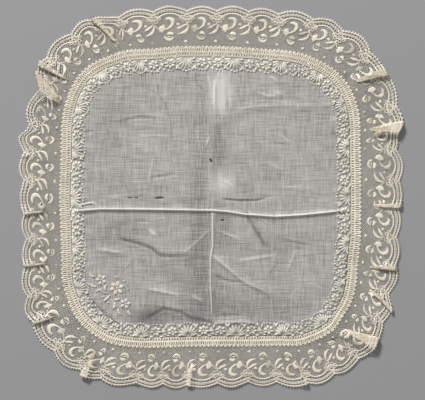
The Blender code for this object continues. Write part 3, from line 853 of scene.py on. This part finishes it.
def flower(centre, petals, inner, outer, half_width, turn=0.0):
    """Petals round a centre, each a lens that points away from it."""
    angles = np.radians(turn) + 2 * np.pi * np.arange(petals) / petals
    return [
        lens(
            (centre[0] + inner * np.cos(angle), centre[1] + inner * np.sin(angle)),
            (centre[0] + outer * np.cos(angle), centre[1] + outer * np.sin(angle)),
            half_width,
        )
        for angle in angles
    ]


def fan(root, leaves, reach, half_width, first, last):
    """Leaves that spread from a root, between two angles in degrees, longest in the middle."""
    angles = np.radians(np.linspace(first, last, leaves))
    lengths = reach * (0.72 + 0.28 * np.sin(np.linspace(0, np.pi, leaves)))
    return [
        lens(
            (root[0] + 0.25 * length * np.cos(angle), root[1] + 0.25 * length * np.sin(angle)),
            (root[0] + length * np.cos(angle), root[1] + length * np.sin(angle)),
            half_width,
        )
        for angle, length in zip(angles, lengths)
    ]


def dot(x, t, radius):
    """A round padded dot: a lens as long as it is wide."""
    return lens((x - radius, t), (x + radius, t), radius, stations=5)


border_strokes = [
    *flower((6.5, -15.8), 7, 1.3, 5.1, 1.55, 15),
    *fan((20.5, -10.3), 9, 11.6, 1.3, -165, -15),
    *flower((34.5, -15.6), 6, 1.2, 4.8, 1.65, -20),
    lens((9.0, -10.6), (12.4, -10.9), 0.9, 0.15),
    lens((12.2, -11.0), (15.6, -12.8), 1.1, -0.2),
    lens((0.0, -10.8), (3.2, -11.4), 0.9, 0.2),
    lens((26.6, -12.8), (29.8, -10.8), 1.1, 0.2),
    lens((36.6, -10.5), (39.4, -10.9), 0.8, -0.2),
    lens((39.8, -11.0), (43.0, -12.8), 1.1, -0.2),
    lens((12.4, -17.6), (11.4, -22.2), 1.2, 0.2),
    lens((13.6, -18.0), (16.6, -22.6), 1.2, -0.2),
    lens((27.4, -18.0), (25.4, -22.8), 1.2, 0.2),
    lens((28.8, -18.0), (30.4, -22.6), 1.2, -0.2),
    lens((40.2, -15.2), (42.8, -19.2), 1.3, 0.25),
    lens((41.0, -13.4), (44.6, -15.4), 1.1, -0.2),
    lens((-1.8, -17.6), (-3.0, -22.2), 1.2, -0.1),
    lens((0.2, -19.8), (1.8, -23.2), 1.0, 0.1),
    lens((37.8, -20.6), (39.8, -23.4), 1.0, -0.2),
    dot(18.3, -23.3, 1.0),
    dot(21.1, -23.9, 1.1),
    dot(23.6, -23.2, 0.9),
    dot(5.4, -22.7, 1.0),
    dot(8.4, -22.9, 0.9),
    dot(33.0, -22.4, 1.0),
    dot(35.8, -22.8, 0.9),
    dot(6.5, -15.8, 1.0),
    dot(34.5, -15.6, 1.0),
]
BORDER_RISE, SPRAY_RISE = 0.8, 0.6
STITCH_SINK = -0.12
rng = np.random.default_rng(7)
border = Piece()
for stroke in border_strokes:
    paths = repeated(stroke, np.arange(BORDER_REPEATS), BORDER_PITCH)
    widths = np.repeat(stroke[None, :, 2], BORDER_REPEATS, axis=0)
    raised = BORDER_RISE * np.minimum(1, 0.3 + widths / 1.5)
    tones = rng.uniform(0.3, 1.0, BORDER_REPEATS)
    border.add(sweep(paths, widths, raised, border_at, base=STITCH_SINK), tone=tones)
border_piece = border.make("border_embroidery", satin_thread, "linen")

# %% [markdown]
# ## The corner spray
#
# A small raised spray of flowers is worked in cream thread in one corner. It is made
# in the same way as the border, but laid out in mm from its own middle and turned to
# lie along the corner.

# %% The spray's strokes, in mm: x along the spray, y across it
SPRAY_MIDDLE = (-85.0, -82.0)
SPRAY_TURN = np.radians(-45)


def spray_at(x, y, lift):
    """A point on the linen by the spray's own x and y."""
    turned_x = SPRAY_MIDDLE[0] + x * np.cos(SPRAY_TURN) - y * np.sin(SPRAY_TURN)
    turned_y = SPRAY_MIDDLE[1] + x * np.sin(SPRAY_TURN) + y * np.cos(SPRAY_TURN)
    return linen_at(turned_x, turned_y, lift)


spray_strokes = [
    *flower((0.0, 3.0), 6, 1.4, 6.4, 2.2, 0),
    *flower((-15.0, -1.5), 5, 1.1, 4.8, 1.8, 12),
    *flower((15.0, -1.5), 5, 1.1, 4.8, 1.8, 48),
    dot(0.0, 3.0, 1.3),
    dot(-15.0, -1.5, 1.0),
    dot(15.0, -1.5, 1.0),
    lens((-0.5, -4.0), (-13.0, -8.5), 0.55, 0.15, 9),
    lens((0.5, -4.0), (13.0, -8.5), 0.55, -0.15, 9),
    lens((-5.0, -6.0), (-8.5, -1.2), 1.3, 0.15),
    lens((5.0, -6.0), (8.5, -1.2), 1.3, -0.15),
    lens((-7.5, -7.2), (-10.5, -12.5), 1.3, -0.15),
    lens((7.5, -7.2), (10.5, -12.5), 1.3, 0.15),
    lens((0.0, -4.5), (0.0, -13.5), 1.3, 0.05),
    lens((-20.5, -3.5), (-25.5, -5.5), 1.4, 0.1),
    lens((20.5, -3.5), (25.5, -5.5), 1.4, -0.1),
    lens((-13.0, -8.5), (-20.0, -11.0), 1.4, 0.15),
    lens((13.0, -8.5), (20.0, -11.0), 1.4, -0.15),
    dot(-3.5, -11.5, 0.9),
    dot(3.5, -11.5, 0.9),
    dot(-7.5, 9.5, 0.9),
    dot(7.5, 9.5, 0.9),
    dot(0.0, 12.0, 1.0),
]
spray = Piece()
for stroke in spray_strokes:
    path, widths = stroke[None, :, :2], stroke[None, :, 2]
    spray.add(sweep(path, widths, SPRAY_RISE, spray_at, base=STITCH_SINK), tone=0.6)
spray_piece = spray.make("corner_spray", spray_thread, "linen")

# %% [markdown]
# ## The ladder insertion
#
# The insertion is a narrow cotton tape with a row of small holes, whipped to the lace
# with big slanted stitches. Its threads are modelled: rails along it, rungs across
# it, and the whipping over its outer edge. A tape with a bump would lose the holes,
# through which the table shows.

# %% Rails, rungs and whipping, in mm: out is below 0 inside the seam
BAND_BASE = 0.12


def band_at(place, out, lift):
    """A point over the insertion's own flat strip."""
    x, y = ring_point(place, out)
    return np.stack([x, y, BAND_BASE + lift], axis=-1)


def across_band(count, near, far, half_widths, slant=0.0, seed=0):
    """Bars across the band from near to far, evenly round the seam, each a little off."""
    bars = np.random.default_rng(seed)
    places = np.arange(count) * RING_LENGTH / count + bars.uniform(-0.12, 0.12, count)
    share = np.linspace(0, 1, len(half_widths))
    out = near + (far - near) * share
    path = np.stack(np.broadcast_arrays(places[:, None] + slant * share, out[None, :]), axis=-1)
    return path, np.array(half_widths) * (1 + bars.uniform(-0.1, 0.1, (count, 1)))


# Rails along the band: out, half width, rise, base, tone
RAILS = (
    (-0.75, 0.7, 0.35, 0.0, 0.7),
    (-4.7, 1.0, 0.45, 0.05, 0.6),
    (-7.85, 1.05, 0.4, 0.0, 0.1),
)

# Bars across the band: count, from, to, half widths, slant, rise, base
BARS = (
    (502, -0.2, -5.0, (0.86, 0.86, 0.78, 0.8, 0.88, 0.82), 0.0, 0.5, 0.05),
    (396, -4.9, -7.6, (0.8, 0.86, 0.8, 0.86), 0.0, 0.4, 0.05),
    (251, -1.3, 0.95, (0.7, 1.2, 1.5, 1.45, 0.9), 0.5, 0.45, 0.12),
)

band = Piece()
rail_places = np.linspace(0, RING_LENGTH, 460, endpoint=False)
for out, half_width, rise, base, tone in RAILS:
    path = np.stack([rail_places, np.full(len(rail_places), out)], axis=-1)[None]
    points = sweep(path, half_width, rise, band_at, base=base, closed=True, lap=RING_LENGTH)
    band.add(points, closed=True, tone=tone)
for seed, (count, near, far, half_widths, slant, rise, base) in enumerate(BARS):
    path, widths = across_band(count, near, far, half_widths, slant, seed)
    height = rise * np.minimum(1, widths / widths.max() + 0.35)
    tones = 0.5 + np.random.default_rng(seed + 20).uniform(-0.25, 0.3, count)
    band.add(sweep(path, widths, height, band_at, base=base), tone=tones)
band_piece = band.make("ladder_insertion", band_thread, "band")
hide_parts("insertion_band")

# %% [markdown]
# ## The lace's folds
#
# The lace is one strip, eased round the corners, with pleats where it was folded and
# pressed. A simulation can't be told which pleats to make. So the strip is described
# in rows: at each share of its width, the pleats give their own section, and the
# cloth between them is spread evenly between the scallops' known places.

# %% The lace's sizes and tables
LACE_WIDTH = 36.6
REPEATS = 45
REPEAT_LENGTH = 28.0
LAYER_PITCH = 1.35
LEAST_PITCH = 0.7
PLEAT_START = 1.0
PLEAT_LEAD = 6.5
FLAP_REST = 1.75
CREASE_LEAD = 3.6
CREASE_HEIGHT = 1.7
RIPPLE_HEIGHT = 0.9
RIPPLES = (11, 17)
LACE_BASE = 0.3

# How much wider or narrower the lace lies than its usual width: place, difference
LACE_SPREAD = (
    (0, 0.0), (30, 1.0), (60, 0.3), (80, 0.4), (98, 1.8), (118, 2.4), (134, -1.2), (146, 1.0),
    (168, 3.5), (177, -2.5), (188, -0.2), (204, 2.0), (218, 2.2), (228, 0.8), (264, -0.4),
    (296, 0.6), (312, -2.0), (320, 0.8), (334, 1.2), (344, 3.2), (352, 2.2), (360, 0.3),
    (370, 2.2), (388, 1.4), (410, 0.0), (434, -0.8), (452, 0.8), (490, 0.8), (532, -1.0),
    (546, 0.5), (556, 0.4), (578, 2.0), (594, 2.4), (608, 4.0), (620, 1.2), (632, -0.4),
    (660, -1.2), (704, -0.8), (718, 1.0), (740, 1.2), (749, 2.2), (758, -3.6), (766, -2.8),
    (784, -8.0), (793, -1.0), (800, 0.5), (816, 0.0), (834, 2.4), (840, 0.8), (848, -2.4),
    (864, 0.0), (884, 1.7), (904, 0.0),
)

# Where each scallop's low point lies, counting the ones hidden in flaps: place, repeats
SPACING = (
    (5, 0), (33, 1), (59, 2), (81, 3), (101, 4), (122, 5), (159, 7), (190, 9), (218, 10),
    (241, 11), (267, 12), (293, 13), (310, 14), (328, 15), (354, 17), (371, 18), (389, 19),
    (407, 20), (432, 21), (459, 22), (484, 23), (507, 24), (528, 25), (550, 26), (582, 28),
    (602, 29), (618, 30), (638, 31), (660, 32), (684, 33), (712, 34), (736, 35), (759, 36),
    (803, 39), (823, 40), (854, 42), (878, 43), (908, 44),
)

# Pleats and creases in the lace: place at the lace's edge, place at the inner end, how
# far out the inner end is, width of the flap (0 for a plain crease), side it falls to
PLEATS = (
    (138, 133, 6, 5.5, -1),
    (172, 173, 7, 11.5, 1),
    (241, 240, 9, 1.8, -1),
    (294, 294, 9, 2.2, -1),
    (320, 311, 12, 2.4, -1),
    (340, 348, 5, 10.0, 1),
    (388, 393, 10, 1.8, 1),
    (486, 482, 13, 2.0, -1),
    (527, 533, 15, 0.0, 1),
    (560, 562, 10, 4.0, -1),
    (603, 599, 12, 2.0, 1),
    (637, 639, 10, 2.0, 1),
    (682, 685, 10, 2.0, 1),
    (733, 733, 27, 0.0, 1),
    (788, 779.4, 3, 12.0, -1),
    (797, 798.5, 3, 4.5, 1),
    (839, 850, 3, 5.6, 1),
)
HIDDEN = [2 * width / REPEAT_LENGTH for _, _, _, width, _ in PLEATS]


# %% One pleat's section at any share of the lace's width
def crease_section(rise):
    """A plain crease seen end on, as (along, height) arrays: one low ridge, rounded at its foot."""
    along = CREASE_LEAD * np.array([-1, -0.75, -0.5, -0.25, -0.1, 0, 0.1, 0.25, 0.5, 0.75, 1])
    height = np.clip(1 - np.abs(along) / CREASE_LEAD, 0, 1) ** 2
    return along, height * CREASE_HEIGHT * rise


def flap_section(width, rise):
    """A flap seen end on: three layers back and forth, with a half circle at each turn. A narrow one
    is pressed flatter."""
    half, pitch = width / 2, min(LAYER_PITCH, LEAST_PITCH + 0.12 * width) * rise
    turn = np.linspace(0, np.pi, 6)
    first = half + pitch / 2 * np.sin(turn), pitch / 2 * (1 - np.cos(turn))
    second = -half - pitch / 2 * np.sin(turn), pitch / 2 * (3 - np.cos(turn))
    along = [-half - PLEAT_START, -half, *first[0], *second[0], half, half + FLAP_REST, half + PLEAT_LEAD]
    height = [0, 0, *first[1], *second[1], 2 * pitch, 2 * pitch, 0]
    return np.array(along), np.array(height)


def cloth_passed(place):
    """Repeats of lace sewn on by this place, without those hidden in flaps."""
    places, shown = [], []
    for row_place, repeats in (*SPACING, (SPACING[0][0] + RING_LENGTH, REPEATS)):
        before = [hidden for pleat, hidden in zip(PLEATS, HIDDEN) if pleat[1] < row_place]
        places.append(row_place)
        shown.append(repeats - sum(before))
    return np.interp(place, places, shown)


def pleat_knots(share):
    """Each pleat's knots at this share of the lace's width, as (repeats, place, height) arrays. A flap
    is nothing at its inner end and grows towards the edge."""
    out = share * LACE_WIDTH
    passed = 0.0
    knots = []
    for (edge_place, inner_place, inner_out, width, side), hidden in zip(PLEATS, HIDDEN):
        reach = (out - inner_out) / (LACE_WIDTH - inner_out)
        centre = inner_place + (edge_place - inner_place) * np.clip(reach, -0.3, 1)
        flap = width * np.clip(reach, 0, 1) ** 0.8
        rise = np.clip(reach / 0.3, 0, 1)
        rise = rise * rise * (3 - 2 * rise)
        along, height = flap_section(flap, rise) if width else crease_section(rise)
        length = np.concatenate([[0], np.cumsum(np.hypot(np.diff(along), np.diff(height)))])
        own = (length[1] + length[-3 if width else -2]) / 2
        step = (length - own) / length[-1] * (along[-1] - along[0] + 2 * flap) / REPEAT_LENGTH
        if side < 0:
            step, along, height = -step[::-1], -along[::-1], height[::-1]
        middle = cloth_passed(centre) + passed + hidden / 2
        shrink = 1 / (1 + ring_bend(centre) * out)
        knots.append((middle + step, centre + along * shrink, height))
        passed += hidden
    return knots


# %% The whole strip's middle surface, as a table to look points up in
TABLE_SHARES = np.linspace(-0.04, 1.06, 45)
COLUMNS_PER_REPEAT = 48


def lace_row(share, columns):
    """One row of the strip: places and heights between the knots, then x, y and z."""
    knots = pleat_knots(np.clip(share, 0, 1))
    stations = [
        (repeats, place)
        for place, repeats in SPACING
        if all(
            (repeats < cloth[0] or repeats > cloth[-1]) and (place < along[0] or place > along[-1])
            for cloth, along, _ in knots
        )
    ]
    repeats, place, height = (np.concatenate(parts) for parts in zip(*knots))
    known = np.concatenate([repeats, [row[0] for row in stations]])
    known_place = np.concatenate([place, [row[1] for row in stations]])
    known_height = np.concatenate([height, np.zeros(len(stations))])
    order = np.argsort(known, kind="stable")
    known, known_place, known_height = known[order], known_place[order], known_height[order]
    lap = np.array([-1, 0, 1])[:, None]
    around = (known + lap * REPEATS).ravel()
    place = np.interp(columns, around, (known_place + lap * RING_LENGTH).ravel())
    height = np.interp(columns, around, (known_height + 0 * lap).ravel())
    spread = table_value(LACE_SPREAD, place, RING_LENGTH)
    x, y = ring_point(place, 0.2 + share * (LACE_WIDTH + spread))
    turn = 2 * np.pi * place / RING_LENGTH
    ripple = sum(1 + np.sin(turn * count) for count in RIPPLES) / (2 * len(RIPPLES))
    return np.stack([x, y, LACE_BASE + height + RIPPLE_HEIGHT * ripple * share**2], axis=-1)


lace_columns = np.arange(REPEATS * COLUMNS_PER_REPEAT) / COLUMNS_PER_REPEAT
lace_table = np.stack([lace_row(share, lace_columns) for share in TABLE_SHARES])
run = np.roll(lace_table, -1, axis=1) - np.roll(lace_table, 1, axis=1)
normal = np.cross(run, np.gradient(lace_table, axis=0))
normal /= np.maximum(np.linalg.norm(normal, axis=-1, keepdims=True), 1e-9)
lace_table = np.concatenate([lace_table, normal], axis=-1)
lace_table = np.concatenate([lace_table, lace_table[:, :1]], axis=1)

# %% The lace as a surface: pattern units are 30 to a repeat along and 0.88 mm out
LACE_PITCH = 30.0
FULL_LAP = REPEATS * LACE_PITCH
FULL_T = LACE_WIDTH / UNIT


def lace_at(a, t, lift):
    """A point on the folded strip, lifted along its normal: the four nearest points of the table,
    weighed by nearness."""
    column = np.mod(a / LACE_PITCH, REPEATS) * COLUMNS_PER_REPEAT
    row = (t / FULL_T - TABLE_SHARES[0]) / (TABLE_SHARES[1] - TABLE_SHARES[0])
    row = np.clip(row, 0, len(TABLE_SHARES) - 1.001)
    c, r = np.minimum(column.astype(int), lace_table.shape[1] - 2), row.astype(int)
    right, up = (column - c)[..., None], (row - r)[..., None]
    near = lace_table[r, c] * (1 - right) + lace_table[r, c + 1] * right
    far = lace_table[r + 1, c] * (1 - right) + lace_table[r + 1, c + 1] * right
    spot = near * (1 - up) + far * up
    return spot[..., :3] + spot[..., 3:] * lift[..., None]


def unsewn_lace_at(a, t, lift):
    """The same point with the strip not gathered but stood up in one true circle. That has the area of
    the strip laid out flat, and a band that closes on itself closes over one step there, not back
    along the whole strip."""
    turn = 2 * np.pi * a / FULL_LAP
    radius = REPEATS * REPEAT_LENGTH / (2 * np.pi) + lift
    return np.stack([radius * np.cos(turn), radius * np.sin(turn), t * UNIT], axis=-1)


print("the lace's table:", lace_table.shape)

# %% [markdown]
# ## The net and its scalloped bands
#
# The ground of the lace is a net of fine threads that cross on the slant, about 1.7 mm
# apart along the seam, and it ends in three curved bands that make the scallops. A
# see-through picture of net on a plane would be lighter, but real threads give real
# gaps, and they follow the pleats.

# %% Scallops and bands
SCALLOP_DEPTH = 4.1

# The innermost band over one repeat: units along, units out
INNER_ARC = (
    (0, 27.0), (2.5, 27.8), (5, 29.6), (8, 31.8), (11.5, 33.0), (15, 33.2), (18.5, 32.9),
    (22, 31.6), (25, 29.4), (27.5, 27.8),
)


def scallop_edge(a):
    """The outer edge: full width, less a dip to each low point."""
    return FULL_T - 0.1 - SCALLOP_DEPTH * (1 - np.abs(np.sin(np.pi * a / LACE_PITCH)))


def inner_arc(a):
    """The innermost band's middle line."""
    return table_value(INNER_ARC, a, LACE_PITCH)


edge_a = np.linspace(0, FULL_LAP, REPEATS * 20, endpoint=False)
lace_edge = scallop_edge(edge_a)
# The outer and inner bands: middle line, half width, rise
BANDS = (
    (lace_edge - 1.9, 0.6, 0.3),
    (inner_arc(edge_a), 0.75, 0.32),
)


# %% Net threads
NET_CELLS = 12
NET_STATIONS = 21
NET_SLOPE = 1.2
NET_HALF_WIDTH = 0.18
NET_RISE = 0.14
UNDER_LIFT, OVER_LIFT = 0.02, 0.1
BAR_RISE = 0.2


def net_family(direction):
    """Threads that start evenly along the seam and run out on the slant, each until it meets the
    innermost band."""
    starts = np.arange(REPEATS * NET_CELLS) * LACE_PITCH / NET_CELLS
    reach = np.full(len(starts), 29.0)
    for _ in range(12):
        reach = 0.5 * reach + 0.5 * inner_arc(starts + direction * NET_SLOPE * reach)
    share = np.linspace(0, 1, NET_STATIONS)
    t = -0.6 + (reach[:, None] + 0.6) * share
    return np.stack([starts[:, None] + direction * NET_SLOPE * t, t], axis=-1)


def little_bars(low, high, pitch):
    """Paths of short bars that join two bands, evenly along them."""
    a = np.arange(0, FULL_LAP, pitch)
    start = np.interp(a, edge_a, low, period=FULL_LAP)
    end = np.interp(a, edge_a, high, period=FULL_LAP)
    t = start[:, None] + (end - start)[:, None] * np.array([0.0, 1.0])
    return np.stack(np.broadcast_arrays(a[:, None], t), axis=-1)


def lay_net(surface):
    """The net piece's strokes, laid on a surface."""
    piece = Piece()
    for direction in (-1, 1):
        threads = net_family(direction)
        base = UNDER_LIFT if direction < 0 else OVER_LIFT
        points = sweep(threads, NET_HALF_WIDTH, NET_RISE, surface, base=base, section=THREAD)
        piece.add(points, tone=0.5)
    for line, half_width, rise in BANDS:
        path = np.stack([edge_a, line], axis=-1)[None]
        points = sweep(path, half_width, rise, surface, closed=True, lap=FULL_LAP)
        piece.add(points, closed=True, tone=1.0)
    for low, high, pitch, half_width in (
        (lace_edge - 2.0, lace_edge - 0.2, 2.5, 0.6),
        (lace_edge - 4.2, lace_edge - 2.2, 2.5, 0.3),
        (BANDS[1][0], lace_edge - 5.8, 2.5, 0.3),
    ):
        piece.add(sweep(little_bars(low, high, pitch), half_width, BAR_RISE, surface), tone=0.7)
    return piece


def covered_area(piece):
    """Half the surface of a closed piece, in square metres: what it covers, by the cloth measure."""
    points = np.concatenate(piece.points) * MM
    total = 0.0
    for face in piece.faces:
        a, b, c = (points[face[:, k]] for k in range(3))
        total += np.linalg.norm(np.cross(b - a, c - a), axis=-1).sum() / 2
        if face.shape[1] == 4:
            total += np.linalg.norm(np.cross(c - a, points[face[:, 3]] - a), axis=-1).sum() / 2
    return float(total / 2)


net_area = covered_area(lay_net(unsewn_lace_at))
net_piece = lay_net(lace_at).make("lace_net", lace_thread, "lace")
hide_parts("lace_edging")
print(f"laid out flat, the net and bands cover {net_area:.4f} square metres")

# %% [markdown]
# ## The lace's motifs
#
# Every repeat has the same cloth-work: a bow of small loops under the low point, two
# leaves, a curled scroll with a round bud, a cup-shaped flower and two dots. Each is a
# stroke through a few points with a width at each, laid on the folds.

# %% The motifs' strokes over one repeat: along, out, half width
MOTIFS = (
    ((9.4, 22.6, 0.5), (9.0, 20.8, 2.3), (8.2, 18.6, 3.3), (8.0, 16.6, 2.5), (8.4, 14.6, 0.4)),
    (
        (9.3, 17.4, 0.6), (12.6, 18.6, 0.75), (15.8, 20.8, 1.1), (17.5, 24.0, 1.8),
        (16.9, 26.8, 2.0), (14.6, 28.3, 1.6), (12.2, 28.3, 1.0), (10.7, 27.4, 0.4),
    ),
    ((1.2, 22.6, 0.45), (3.2, 20.3, 0.5), (5.6, 18.5, 0.6)),
    ((-0.4, 22.4, 0.5), (-3.0, 21.2, 1.2), (-5.4, 19.6, 1.4), (-7.4, 18.9, 1.1), (-8.8, 17.7, 0.4)),
    (
        (0.9, 21.4, 0.5), (0.8, 18.8, 1.1), (-0.6, 16.2, 1.5), (-3.0, 14.4, 1.35), (-5.8, 13.5, 0.8),
        (-8.0, 13.0, 0.4),
    ),
    ((20.6, 22.5, 0.6), (22.1, 22.5, 1.5), (23.6, 22.5, 0.6)),
    ((-2.7, 5.4, 0.6), (-1.2, 5.4, 1.4), (0.3, 5.4, 0.6)),
    (
        (10.3, 11.8, 0.4), (11.0, 9.5, 1.1), (13.2, 7.9, 1.35), (15.4, 7.8, 1.35), (17.2, 9.0, 1.0),
        (18.0, 10.5, 0.4),
    ),
    ((12.3, 10.2, 0.3), (13.6, 10.6, 0.5), (15.2, 10.4, 0.5), (16.3, 9.9, 0.4)),
    ((12.7, 12.5, 0.5), (13.9, 13.5, 1.4), (15.6, 13.8, 1.7), (17.2, 12.8, 1.2), (17.6, 11.7, 0.5)),
    ((0.0, 25.4, 0.7), (0.1, 23.4, 1.0), (0.3, 21.6, 0.8)),
    ((-7.0, 30.6, 0.5), (-3.2, 31.0, 0.5), (0.5, 32.4, 0.55), (4.5, 34.4, 0.5)),
    ((7.0, 30.6, 0.5), (3.2, 31.0, 0.5), (-0.5, 32.4, 0.55), (-4.5, 34.4, 0.5)),
)

# Small loops of the bow: along, out, radius of the loop's middle line
LOOPS = (
    (-2.7, 26.6, 1.5), (2.8, 25.8, 1.5), (2.3, 29.2, 1.3), (-1.7, 29.4, 1.2),
    (-5.3, 28.6, 1.2), (5.6, 28.4, 1.2), (0.1, 35.4, 1.0),
)

MOTIF_RISE, LOOP_RISE = 0.2, 0.26
LOOP_HALF_WIDTH = 0.5
MOTIF_LIFT = 0.08
motifs = Piece()
every = np.arange(REPEATS)
motif_rng = np.random.default_rng(11)
for row in MOTIFS:
    stroke = smooth_path(row, 3 * len(row) - 3)
    paths = repeated(stroke, every, LACE_PITCH)
    widths = np.repeat(np.maximum(stroke[None, :, 2], 0.3), REPEATS, axis=0)
    tones = 1.05 - 0.85 * motif_rng.random(REPEATS) ** 2.2
    motifs.add(sweep(paths, widths, MOTIF_RISE, lace_at, base=MOTIF_LIFT), tone=tones)
for along, out, radius in LOOPS:
    angle = np.linspace(0, 2 * np.pi, 10, endpoint=False)
    stroke = np.stack([along + radius * np.cos(angle), out + radius * np.sin(angle)], axis=-1)
    paths = repeated(stroke, every, LACE_PITCH)
    points = sweep(paths, LOOP_HALF_WIDTH, LOOP_RISE, lace_at, base=MOTIF_LIFT, closed=True)
    motifs.add(points, closed=True, tone=0.9)

# The middle band is a chain: two strands that cross every 2.5 units and leave small eyelets
CHAIN_WAVE, CHAIN_PERIOD = 0.85, 5.0
CHAIN_HALF_WIDTH, CHAIN_RISE, CHAIN_LIFT = 0.42, 0.32, 0.04
chain_a = np.linspace(0, FULL_LAP, REPEATS * 72, endpoint=False)
chain_middle = np.interp(chain_a, edge_a, lace_edge - 5.0, period=FULL_LAP)
for direction in (-1, 1):
    wave = direction * CHAIN_WAVE * np.sin(2 * np.pi * chain_a / CHAIN_PERIOD)
    path = np.stack([chain_a, chain_middle + wave], axis=-1)[None]
    points = sweep(
        path, CHAIN_HALF_WIDTH, CHAIN_RISE, lace_at, base=CHAIN_LIFT, closed=True, lap=FULL_LAP
    )
    motifs.add(points, closed=True, tone=0.9)
motif_piece = motifs.make("lace_motifs", lace_thread, "lace")

# %% [markdown]
# ## The pressed flaps
#
# Where the lace was folded over and pressed, three layers of net and bands lie on one
# another. Hundreds more threads could be packed in there, but pressed so close they
# look like cloth. So each flap gets a thin close-set web on the same folds, with the
# yellow tint of old creases.

# %% A web over each flap, as wide as the flap at every row
FLAP_COLUMNS = 30
FLAP_ROWS = 26
WEB_START = 0.06
WEB_TOP, WEB_UNDER = 0.16, -0.04
web_shares = np.linspace(0.0, 1.0, FLAP_ROWS)


def flap_web(number, inner_out):
    """Grid a and t of one flap's web: from the flap's first fold to its last, and from just outside
    its inner end to the scalloped edge."""
    first = (inner_out + WEB_START * (LACE_WIDTH - inner_out)) / LACE_WIDTH
    shares = first + (1 - first) * web_shares
    edges = [pleat_knots(share)[number][0] for share in shares]
    start = np.array([row[1] for row in edges]) * LACE_PITCH
    end = np.array([row[-3] for row in edges]) * LACE_PITCH
    a = start[:, None] + (end - start)[:, None] * np.linspace(0, 1, FLAP_COLUMNS)
    t = np.minimum(shares[:, None] * FULL_T, scallop_edge(a) - 0.6)
    return a, t


web_points, web_faces, web_count = [], [], 0
for number, (_, _, inner_out, width, _) in enumerate(PLEATS):
    if not width:
        continue
    a, t = flap_web(number, inner_out)
    points, faces = closed_sheet(
        lace_at(a, t, np.full(a.shape, WEB_TOP)),
        lace_at(a, t, np.full(a.shape, WEB_UNDER)),
        np.ones((FLAP_ROWS - 1, FLAP_COLUMNS - 1), bool),
    )
    web_points.append(points)
    web_faces += [face + web_count for face in faces]
    web_count += len(points)
web_piece = mesh_object("lace_flaps", np.concatenate(web_points), web_faces, flap_web_material)

# %% [markdown]
# ## What each sheet was cut from
#
# Cloth hardly stretches, so a sheet's size is the size it had when it was cut. The
# insertion and the embroidery are sewn to the linen, and the motifs are worked into the
# net. The lace is mostly gaps, so the area it covers is what its threads cover, worked
# out above from this script's own net laid out flat.

# %% [markdown]
# ## Table, light and camera
#
# The handkerchief lies face up, so the camera looks straight down from above. A wide
# soft light stands beyond its top edge and low enough to graze the creases, with
# plain fill from all round. The floor is a plain matt sheet.

# %% The floor
floor_mesh = bpy.data.meshes.new("floor")
FLOOR_HALF = 2.0
floor_corners = [(FLOOR_HALF * x, FLOOR_HALF * y, 0) for x, y in ((-1, -1), (1, -1), (1, 1), (-1, 1))]
floor_mesh.from_pydata(floor_corners, [], [(0, 1, 2, 3)])
floor = bpy.data.objects.new("floor", floor_mesh)
bpy.context.scene.collection.objects.link(floor)
floor_material = bpy.data.materials.new("plain_floor")
floor_material.use_nodes = True
floor_shader = floor_material.node_tree.nodes["Principled BSDF"]
floor_shader.inputs["Base Color"].default_value = (0.27, 0.27, 0.275, 1.0)
floor_shader.inputs["Roughness"].default_value = 0.9
floor_mesh.materials.append(floor_material)


# %% Light
def area_light(name, place, size, watts):
    """A square soft light that faces the middle of the handkerchief."""
    light = bpy.data.lights.new(name, "AREA")
    light.size = size
    light.energy = watts
    lamp = bpy.data.objects.new(name, light)
    lamp.location = place
    aim = -np.array(place, float)
    aim /= np.linalg.norm(aim)
    lamp.rotation_euler = (np.arccos(-aim[2]), 0.0, np.arctan2(aim[1], aim[0]) - np.pi / 2)
    bpy.context.scene.collection.objects.link(lamp)
    return lamp


area_light("top_light", (-1.85, 3.6, 2.0), 0.85, 320.0)
area_light("fill_light", (0.9, -0.5, 1.6), 1.2, 3.5)
world = bpy.data.worlds.new("soft_room")
bpy.context.scene.world = world
world.use_nodes = True
world.node_tree.nodes["Background"].inputs["Color"].default_value = (1.0, 1.0, 1.0, 1.0)
world.node_tree.nodes["Background"].inputs["Strength"].default_value = 0.32
bpy.context.scene.view_settings.view_transform = "Standard"

# %% Camera
VIEW_MIDDLE = (1.43, -2.48)
VIEW_WIDTH = 374.0
CAMERA_HEIGHT = 1.5
camera_data = bpy.data.cameras.new("camera")
camera_data.sensor_width = 36.0
camera_data.lens = 36.0 * CAMERA_HEIGHT / (VIEW_WIDTH * MM)
camera_data.clip_end = 20.0
camera = bpy.data.objects.new("camera", camera_data)
camera.location = (VIEW_MIDDLE[0] * MM, VIEW_MIDDLE[1] * MM, CAMERA_HEIGHT)
bpy.context.scene.collection.objects.link(camera)
bpy.context.scene.camera = camera
